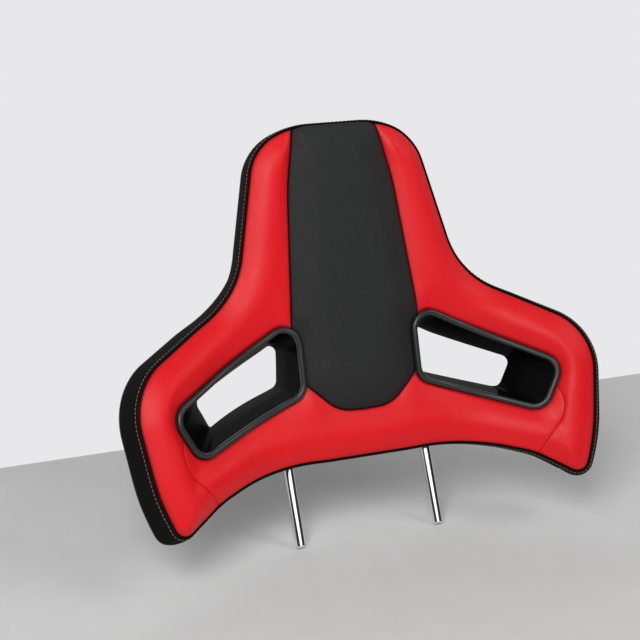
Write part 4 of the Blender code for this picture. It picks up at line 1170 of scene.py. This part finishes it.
def make_shell():
    rims, hole, lines = shell_lines()
    plan, faces = plan_mesh(lines, [], SHELL_STEP)
    middles = plan[faces].mean(axis=1)
    solid = inside(rims[0], middles) & ~inside(hole, right_half(middles))
    back = shell_back(plan)
    to_rim = nearest(close(rims[0]), plan)[0]
    rolled = back + np.minimum(roll(to_rim, SHELL_ROLL), ROLL_DROP * SHELL_ROLL)
    points, polygons, _ = solid_from_plan(
        plan, faces[solid], rolled, back + SHELL_WALL, ((0, 0), (0, 1)))
    mesh = mesh_from("back_cover", points, polygons)
    mesh = cut(mesh, cylinders(
        SCREW_BORE / 2, -SCREW_BORE_REACH, SCREW_BORE_REACH, SCREW_SEATS, 32))
    top = POST_LENGTH - POST_BEND
    bores = [post_axis(side) for side in (1, -1)]
    mesh = cut(mesh, cylinders(
        FERRULE_DIAMETER / 2 + PLAY, top - BORE_BELOW, top + BORE_ABOVE, bores, 48))
    piece("back_cover", mesh, SHELL_PLASTIC, "shell_plastic", "back_shell", sharp=35)


make_shell()

# %% [markdown]
# ## Posts
#
# Both posts are one chromed rod, bent to a hoop whose crossbar is clamped behind the foam, with
# chamfered ends. A curve with a bevel could make it too. Circles set along the route and joined
# are as quick here, and they narrow exactly where a chamfer starts. Ferrules, turned from a small
# profile, line the bores where the rod leaves the shell.

# %% Hoop
HOOP_STEPS, BEND_STEPS = 48, 12
HOOP_STOPS = (POST_CHAMFER, 40, 80)


def make_hoop():
    half, bend, radius = POST_SPACING / 2, POST_BEND, POST_DIAMETER / 2
    right = [(half, -POST_LENGTH, radius - POST_CHAMFER)]
    right += [(half, stop - POST_LENGTH, radius) for stop in HOOP_STOPS]
    right += [(half - bend + bend * math.cos(a), -bend + bend * math.sin(a), radius)
              for a in np.linspace(0, math.pi / 2, BEND_STEPS + 1)]
    route = right + [(-x, y, r) for x, y, r in reversed(right)]
    along = np.gradient(np.array([stop[:2] for stop in route]), axis=0)
    along /= np.linalg.norm(along, axis=1, keepdims=True)
    place = (Matrix.Translation((0, CROSSBAR_Y, CROSSBAR_N))
             @ Matrix.Rotation(-POST_LEAN, 4, "X"))
    rows = [
        [place @ Vector((x + ahead_y * r * math.cos(a), y - ahead_x * r * math.cos(a),
                         r * math.sin(a)))
         for a in np.linspace(0, 2 * math.pi, HOOP_STEPS, endpoint=False)]
        for (x, y, r), (ahead_x, ahead_y) in zip(route, along)
    ]
    points = placed(np.array([tuple(p) for row in rows for p in row]))
    mesh = mesh_from("chromed_hoop", points, lofted(rows, caps=True))
    piece("chromed_hoop", mesh, CHROME, "chrome", "post_hoop", sharp=30)


make_hoop()

# %% Ferrules
FERRULE_PLAY = 0.35
OUTER_CHAMFER, BORE_CHAMFER = 0.5, 0.4


def make_ferrules():
    bore, outer = POST_DIAMETER / 2 + FERRULE_PLAY, FERRULE_DIAMETER / 2
    high = POST_LENGTH - POST_BEND - PLAY
    low = high - FERRULE_LENGTH
    profile = ((bore, high), (outer, high), (outer, low + OUTER_CHAMFER),
               (outer - OUTER_CHAMFER, low), (bore + BORE_CHAMFER, low),
               (bore, low + BORE_CHAMFER))
    for name, side in (("right", 1), ("left", -1)):
        rows = turned(profile, HOOP_STEPS)
        points = [tuple(post_axis(side) @ Vector(p)) for row in rows for p in row]
        mesh = mesh_from("ferrule_" + name, points, lofted(rows, closed=True))
        piece("ferrule_" + name, mesh, HIDDEN_PLASTIC, "carrier_plastic", "post_ferrule_" + name,
              sharp=30)


make_ferrules()

# %% [markdown]
# ## What repeats
#
# Stitches and screws are many of the same, each turned to its own place. Copying them by hand, or
# with an Array along a curve, is hard to change later. Geometry Nodes put one shape at every
# point of a line or a set of places. Each tree has named inputs for its sizes, ends in real
# geometry with its material set, and is then turned into one plain mesh.

# %% Geometry Nodes helpers
def new_tree(name, inputs):
    """A Geometry Nodes tree with a geometry in and out and named number inputs."""
    tree = bpy.data.node_groups.new(name, "GeometryNodeTree")
    for way in ("INPUT", "OUTPUT"):
        tree.interface.new_socket("Geometry", in_out=way, socket_type="NodeSocketGeometry")
    for label in inputs:
        tree.interface.new_socket(label, in_out="INPUT", socket_type="NodeSocketFloat")
    return tree, node(tree, "NodeGroupInput").outputs


def end_tree(tree, geometry, material):
    """Realizes the instances, shades them smooth and gives them their material."""
    whole = node(tree, "GeometryNodeRealizeInstances", {"Geometry": geometry})
    smooth = node(tree, "GeometryNodeSetShadeSmooth", {"Geometry": whole})
    dressed = node(tree, "GeometryNodeSetMaterial", {"Geometry": smooth, "Material": material})
    node(tree, "NodeGroupOutput", {"Geometry": dressed})


def grown(name, mesh, tree, values):
    """The plain mesh that a tree makes of a base mesh, with its inputs set by identifier."""
    holder = bpy.data.objects.new(name, mesh)
    bpy.context.scene.collection.objects.link(holder)
    modifier = holder.modifiers.new("grow", "NODES")
    modifier.node_group = tree
    for item in tree.interface.items_tree:
        if item.in_out == "INPUT" and item.name in values:
            modifier[item.identifier] = float(values[item.name])
    graph = bpy.context.evaluated_depsgraph_get()
    result = bpy.data.meshes.new_from_object(holder.evaluated_get(graph))
    result.name = name
    bpy.data.objects.remove(holder)
    return result


# %% [markdown]
# ### Stitches
#
# One row of topstitching runs in the groove of the side band. On the real band each stitch is a
# short loop of thread that dives into the leather at both ends, and a stretched bead half sunk in
# the groove looks the same. The thread is 0.6 mm thick in reality and is drawn half as thick
# again, so that the row still shows from afar.

# %% Stitches
STITCH_PITCH, STITCH_LENGTH = 4.6, 3.5
THREAD_WIDTH = 0.9
THREAD_LIFT = 0.5  # of the thread's width, above the groove's bottom


def stitch_tree():
    """Sews along a line: one thread loop at every pitch, laid along the line."""
    tree, given = new_tree("stitch_row", ("Pitch", "Stitch Length", "Thread Width"))
    line = node(tree, "GeometryNodeMeshToCurve", {"Mesh": given["Geometry"]})
    spaced = node(tree, "GeometryNodeResampleCurve", {
        "Curve": line, "Length": given["Pitch"]}, mode="LENGTH")
    bead = node(tree, "GeometryNodeMeshUVSphere", {"Segments": 8, "Rings": 8, "Radius": 0.5})
    size = node(tree, "ShaderNodeCombineXYZ", {
        "X": given["Thread Width"], "Y": given["Thread Width"], "Z": given["Stitch Length"]})
    loop = node(tree, "GeometryNodeTransform", {"Geometry": bead, "Scale": size})
    along = node(tree, "GeometryNodeInputTangent")
    turn = node(tree, "FunctionNodeAlignRotationToVector", {"Vector": along}, axis="Z")
    sewn = node(tree, "GeometryNodeInstanceOnPoints", {
        "Points": spaced, "Instance": loop, "Rotation": turn})
    end_tree(tree, sewn, THREAD)
    return tree


# %% The row of stitches
def make_stitches():
    drop, _, flare = edge_values(EDGE)
    share = STITCH_DEPTH / (-drop - BAND_REAR)
    reach = band_reach(share, flare) - GROOVE_DEPTH + THREAD_LIFT * THREAD_WIDTH
    line = real(EDGE + mitres(EDGE) * reach[:, None], -drop - STITCH_DEPTH)
    base = bpy.data.meshes.new("stitch_line")
    count = len(line)
    base.from_pydata([tuple(p) for p in line], [(k, (k + 1) % count) for k in range(count)], [])
    mesh = grown("band_stitches", base, stitch_tree(), {
        "Pitch": STITCH_PITCH / 1000, "Stitch Length": STITCH_LENGTH / 1000,
        "Thread Width": THREAD_WIDTH / 1000})
    piece("band_stitches", mesh, THREAD, "gusset_leather")


make_stitches()

# %% [markdown]
# ### Screws
#
# Ten pan-head screws hold the shell. Each has a rounded head, a six-sided recess and a shank. One
# could be modelled and placed ten times. The tree does both: it rounds a cylinder by moving its
# points, cuts the recess with a Boolean node, and turns a copy to the facing that each place
# stores.

# %% Screw tree
ROUNDING, TOP_SHARE = 3.0, 0.55  # how late the head draws in, and how wide its top is left


def screw_tree():
    """Puts a pan-head screw with a six-sided recess at each point, along its own facing."""
    tree, given = new_tree("shell_screws", (
        "Head Radius", "Head Height", "Shank Radius", "Length", "Recess Radius"))
    half = node(tree, "ShaderNodeMath", {0: given["Head Height"], 1: 0.5}, operation="MULTIPLY")
    below = node(tree, "ShaderNodeMath", {0: half, 1: -1.0}, operation="MULTIPLY")
    head = node(tree, "GeometryNodeMeshCylinder", {
        "Vertices": 32, "Side Segments": 8, "Fill Segments": 1,
        "Radius": given["Head Radius"], "Depth": given["Head Height"]})
    where = node(tree, "GeometryNodeInputPosition")
    height = node(tree, "ShaderNodeSeparateXYZ", {0: where}).outputs["Z"]
    rise = node(tree, "ShaderNodeMapRange", {
        "Value": height, "From Min": half, "From Max": below})
    curve = node(tree, "ShaderNodeMath", {0: rise, 1: ROUNDING}, operation="POWER")
    slim = node(tree, "ShaderNodeMapRange", {
        "Value": curve, "To Min": 1.0, "To Max": TOP_SHARE})
    narrow = node(tree, "ShaderNodeCombineXYZ", {"X": slim, "Y": slim, "Z": 1.0})
    rounded = node(tree, "ShaderNodeVectorMath", {0: where, 1: narrow}, operation="MULTIPLY")
    crown = node(tree, "GeometryNodeSetPosition", {"Geometry": head, "Position": rounded})
    sunk = node(tree, "ShaderNodeCombineXYZ", {"Z": below})
    crown = node(tree, "GeometryNodeTransform", {"Geometry": crown, "Translation": sunk})
    drive = node(tree, "GeometryNodeMeshCylinder", {
        "Vertices": 6, "Radius": given["Recess Radius"], "Depth": given["Head Height"]})
    deep = node(tree, "ShaderNodeMath", {
        0: given["Head Height"], 1: -1.1}, operation="MULTIPLY")
    deep = node(tree, "ShaderNodeCombineXYZ", {"Z": deep})
    drive = node(tree, "GeometryNodeTransform", {"Geometry": drive, "Translation": deep})
    bored = node(tree, "GeometryNodeMeshBoolean", {
        "Mesh 1": crown, "Mesh 2": drive}, operation="DIFFERENCE")
    shank = node(tree, "GeometryNodeMeshCylinder", {
        "Vertices": 24, "Radius": given["Shank Radius"], "Depth": given["Length"]})
    middle = node(tree, "ShaderNodeMath", {0: given["Length"], 1: 0.5}, operation="MULTIPLY")
    middle = node(tree, "ShaderNodeCombineXYZ", {"Z": middle})
    shank = node(tree, "GeometryNodeTransform", {"Geometry": shank, "Translation": middle})
    screw = node(tree, "GeometryNodeJoinGeometry")
    for part in (bored, shank):
        feed(tree, screw, {0: part})
    facing = node(tree, "GeometryNodeInputNamedAttribute", {"Name": "facing"},
                  data_type="FLOAT_VECTOR")
    turn = node(tree, "FunctionNodeAlignRotationToVector", {"Vector": facing}, axis="Z")
    driven = node(tree, "GeometryNodeInstanceOnPoints", {
        "Points": given["Geometry"], "Instance": screw, "Rotation": turn})
    end_tree(tree, driven, BLACK_STEEL)
    return tree


# %% The ten screws
def make_screws():
    base = bpy.data.meshes.new("screw_places")
    under_head = Vector((0, 0, -PLAY / 1000))
    base.from_pydata([tuple(place @ under_head) for place in SCREW_SEATS], [], [])
    facing = [c for place in SCREW_SEATS for c in place.to_3x3().col[2]]
    base.attributes.new("facing", "FLOAT_VECTOR", "POINT").data.foreach_set("vector", facing)
    mesh = grown("shell_screws", base, screw_tree(), {
        "Head Radius": 0.0045, "Head Height": 0.0024, "Shank Radius": 0.0021, "Length": 0.011,
        "Recess Radius": 0.00175})
    names = [f"shell_screw_{side}_{k}" for side in ("right", "left") for k in range(1, 6)]
    piece("shell_screws", mesh, BLACK_STEEL, "black_steel", *names, sharp=35)


make_screws()

# %% [markdown]
# ## CAD pieces that stay
#
# The carrier, clamps, bolts and retainer strips are plain moulded and turned shapes behind the
# foam. They could be made again, but nobody would see the difference, so they keep their CAD
# meshes and only take a real finish.

# %% Carried-over nodes
carried = [obj for name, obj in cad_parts.items()
           if name.split("_")[0] in ("clamp", "carrier", "retainer")]
for obj in carried:
    for place in obj.material_slots:
        place.material = ZINC if obj.name.startswith("clamp") else HIDDEN_PLASTIC
print("carried over:", len(carried))

# %% [markdown]
# ## Floor
#
# A product is mostly shown on a sheet of pale card. It could curve up behind the object, but here
# it simply ends a little way behind, which leaves the even backdrop above it. Its tone clouds
# faintly, so that the shadow lies on something.

# %% Floor
FLOOR_BACK, FLOOR_REACH = 0.32, 4.0
CLOUD_SIZE = 60


def make_floor():
    level = float(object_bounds()[0][2])
    mesh = bpy.data.meshes.new("floor")
    mesh.from_pydata([
        (-FLOOR_REACH, -FLOOR_REACH, level), (FLOOR_REACH, -FLOOR_REACH, level),
        (FLOOR_REACH, FLOOR_BACK, level), (-FLOOR_REACH, FLOOR_BACK, level),
    ], [], [(0, 1, 2, 3)])
    floor = bpy.data.objects.new("floor", mesh)
    bpy.context.scene.collection.objects.link(floor)
    # Uncoated card, pressed smooth: pale and quite matte.
    material, tree, shader, where = new_finish("pale_card_pressed")
    cloud = node(tree, "ShaderNodeTexNoise", {
        "Vector": where, "Scale": per_mm(CLOUD_SIZE), "Detail": 5.0, "Roughness": 0.6})
    base = node(tree, "ShaderNodeMix", {
        0: cloud, 6: linear("#d4d4d3"), 7: linear("#dededd")}, data_type="RGBA").outputs[2]
    feed(tree, shader, {"Base Color": base, "Roughness": 0.6})
    mesh.materials.append(material)
    print("floor at", round(level, 4))


make_floor()

# %% [markdown]
# ## Backdrop
#
# A studio has a bright wall behind the object and a darker room behind the camera. A real wall
# could be built and lit, but its light would spill on the object. The world does it without
# spilling: the Light Path node shows the pale backdrop to camera rays, and to mirrored rays that
# head towards it. Mirrored rays that come back to the camera's side see a dim room, and that
# gives chrome its black stripes.

# %% Backdrop
ROOM_LIGHT, ROOM_MIRRORED = 0.28, 0.05
BACK_FROM, BACK_TO = -0.1, 0.35  # how far a ray's direction points back when the wall fades in


def make_backdrop():
    world = bpy.data.worlds.new("backdrop")
    world.use_nodes = True
    bpy.context.scene.world = world
    tree = world.node_tree
    tree.nodes.clear()
    rays = node(tree, "ShaderNodeLightPath").outputs
    mirrored_ray = node(tree, "ShaderNodeMath", {
        0: rays["Is Glossy Ray"], 1: rays["Is Transmission Ray"]}, operation="MAXIMUM")
    dim = node(tree, "ShaderNodeMapRange", {
        "Value": mirrored_ray, "To Min": ROOM_LIGHT, "To Max": ROOM_MIRRORED})
    room = node(tree, "ShaderNodeBackground", {"Color": linear("#c8c9cc"), "Strength": dim})
    pale = node(tree, "ShaderNodeBackground", {"Color": linear("#e8e8ea"), "Strength": 1.0})
    direction = node(tree, "ShaderNodeTexCoord").outputs["Generated"]
    back = node(tree, "ShaderNodeSeparateXYZ", {0: direction}).outputs["Y"]
    behind = node(tree, "ShaderNodeMapRange", {
        "Value": back, "From Min": BACK_FROM, "From Max": BACK_TO})
    shown = node(tree, "ShaderNodeMath", {0: mirrored_ray, 1: behind}, operation="MULTIPLY")
    seen = node(tree, "ShaderNodeMath", {
        0: rays["Is Camera Ray"], 1: shown}, operation="MAXIMUM")
    mix = node(tree, "ShaderNodeMixShader", {0: seen, 1: room, 2: pale})
    node(tree, "ShaderNodeOutputWorld", {"Surface": mix})
    print("backdrop nodes:", len(tree.nodes))


make_backdrop()

# %% [markdown]
# ## Light and camera
#
# A large soft lamp in front and above does most of the work. Small or bare lamps would give hard
# shadows and pinpoints on the leather. A wide one just above and behind the camera lays the white
# stripe down each post, a third opens the shadows on the other side, and a weak one behind rims
# the top. The camera stands a little to the left and looks down through a long lens.

# %% Lamps
AIM = Vector((0, 0, 0.25))


def soft_light(name, place, width, height, power):
    """A rectangular lamp that looks at the pad, in metres and watts."""
    data = bpy.data.lights.new(name, "AREA")
    data.shape, data.size, data.size_y, data.energy = "RECTANGLE", width, height, power
    light = bpy.data.objects.new(name, data)
    light.location = place
    light.rotation_euler = (AIM - Vector(place)).to_track_quat("-Z", "Y").to_euler()
    bpy.context.scene.collection.objects.link(light)


soft_light("key", (-1.1, -1.5, 2.0), 1.2, 1.2, 35)
soft_light("front", (-0.68, -1.68, 1.29), 3.4, 0.9, 13)
soft_light("fill", (1.9, -1.2, 2.3), 1.2, 1.2, 18)
soft_light("rear", (0.3, 1.8, 1.8), 1.6, 1.0, 6)
print("lamps:", len(bpy.data.lights))

# %% Camera
CAMERA_PLACE = (-0.51145, -1.2786, 0.7827)
CAMERA_YAW, CAMERA_PITCH = math.radians(19.36), math.radians(20.58)
camera_data = bpy.data.cameras.new("camera")
camera_data.lens, camera_data.sensor_width = 75.94, 36
camera = bpy.data.objects.new("camera", camera_data)
camera.location = CAMERA_PLACE
camera.rotation_euler = (math.pi / 2 - CAMERA_PITCH, 0, -CAMERA_YAW)
bpy.context.scene.collection.objects.link(camera)
bpy.context.scene.camera = camera
bpy.context.scene.view_settings.view_transform = "Standard"
print("camera distance:", round((AIM - Vector(CAMERA_PLACE)).length, 2), "m")
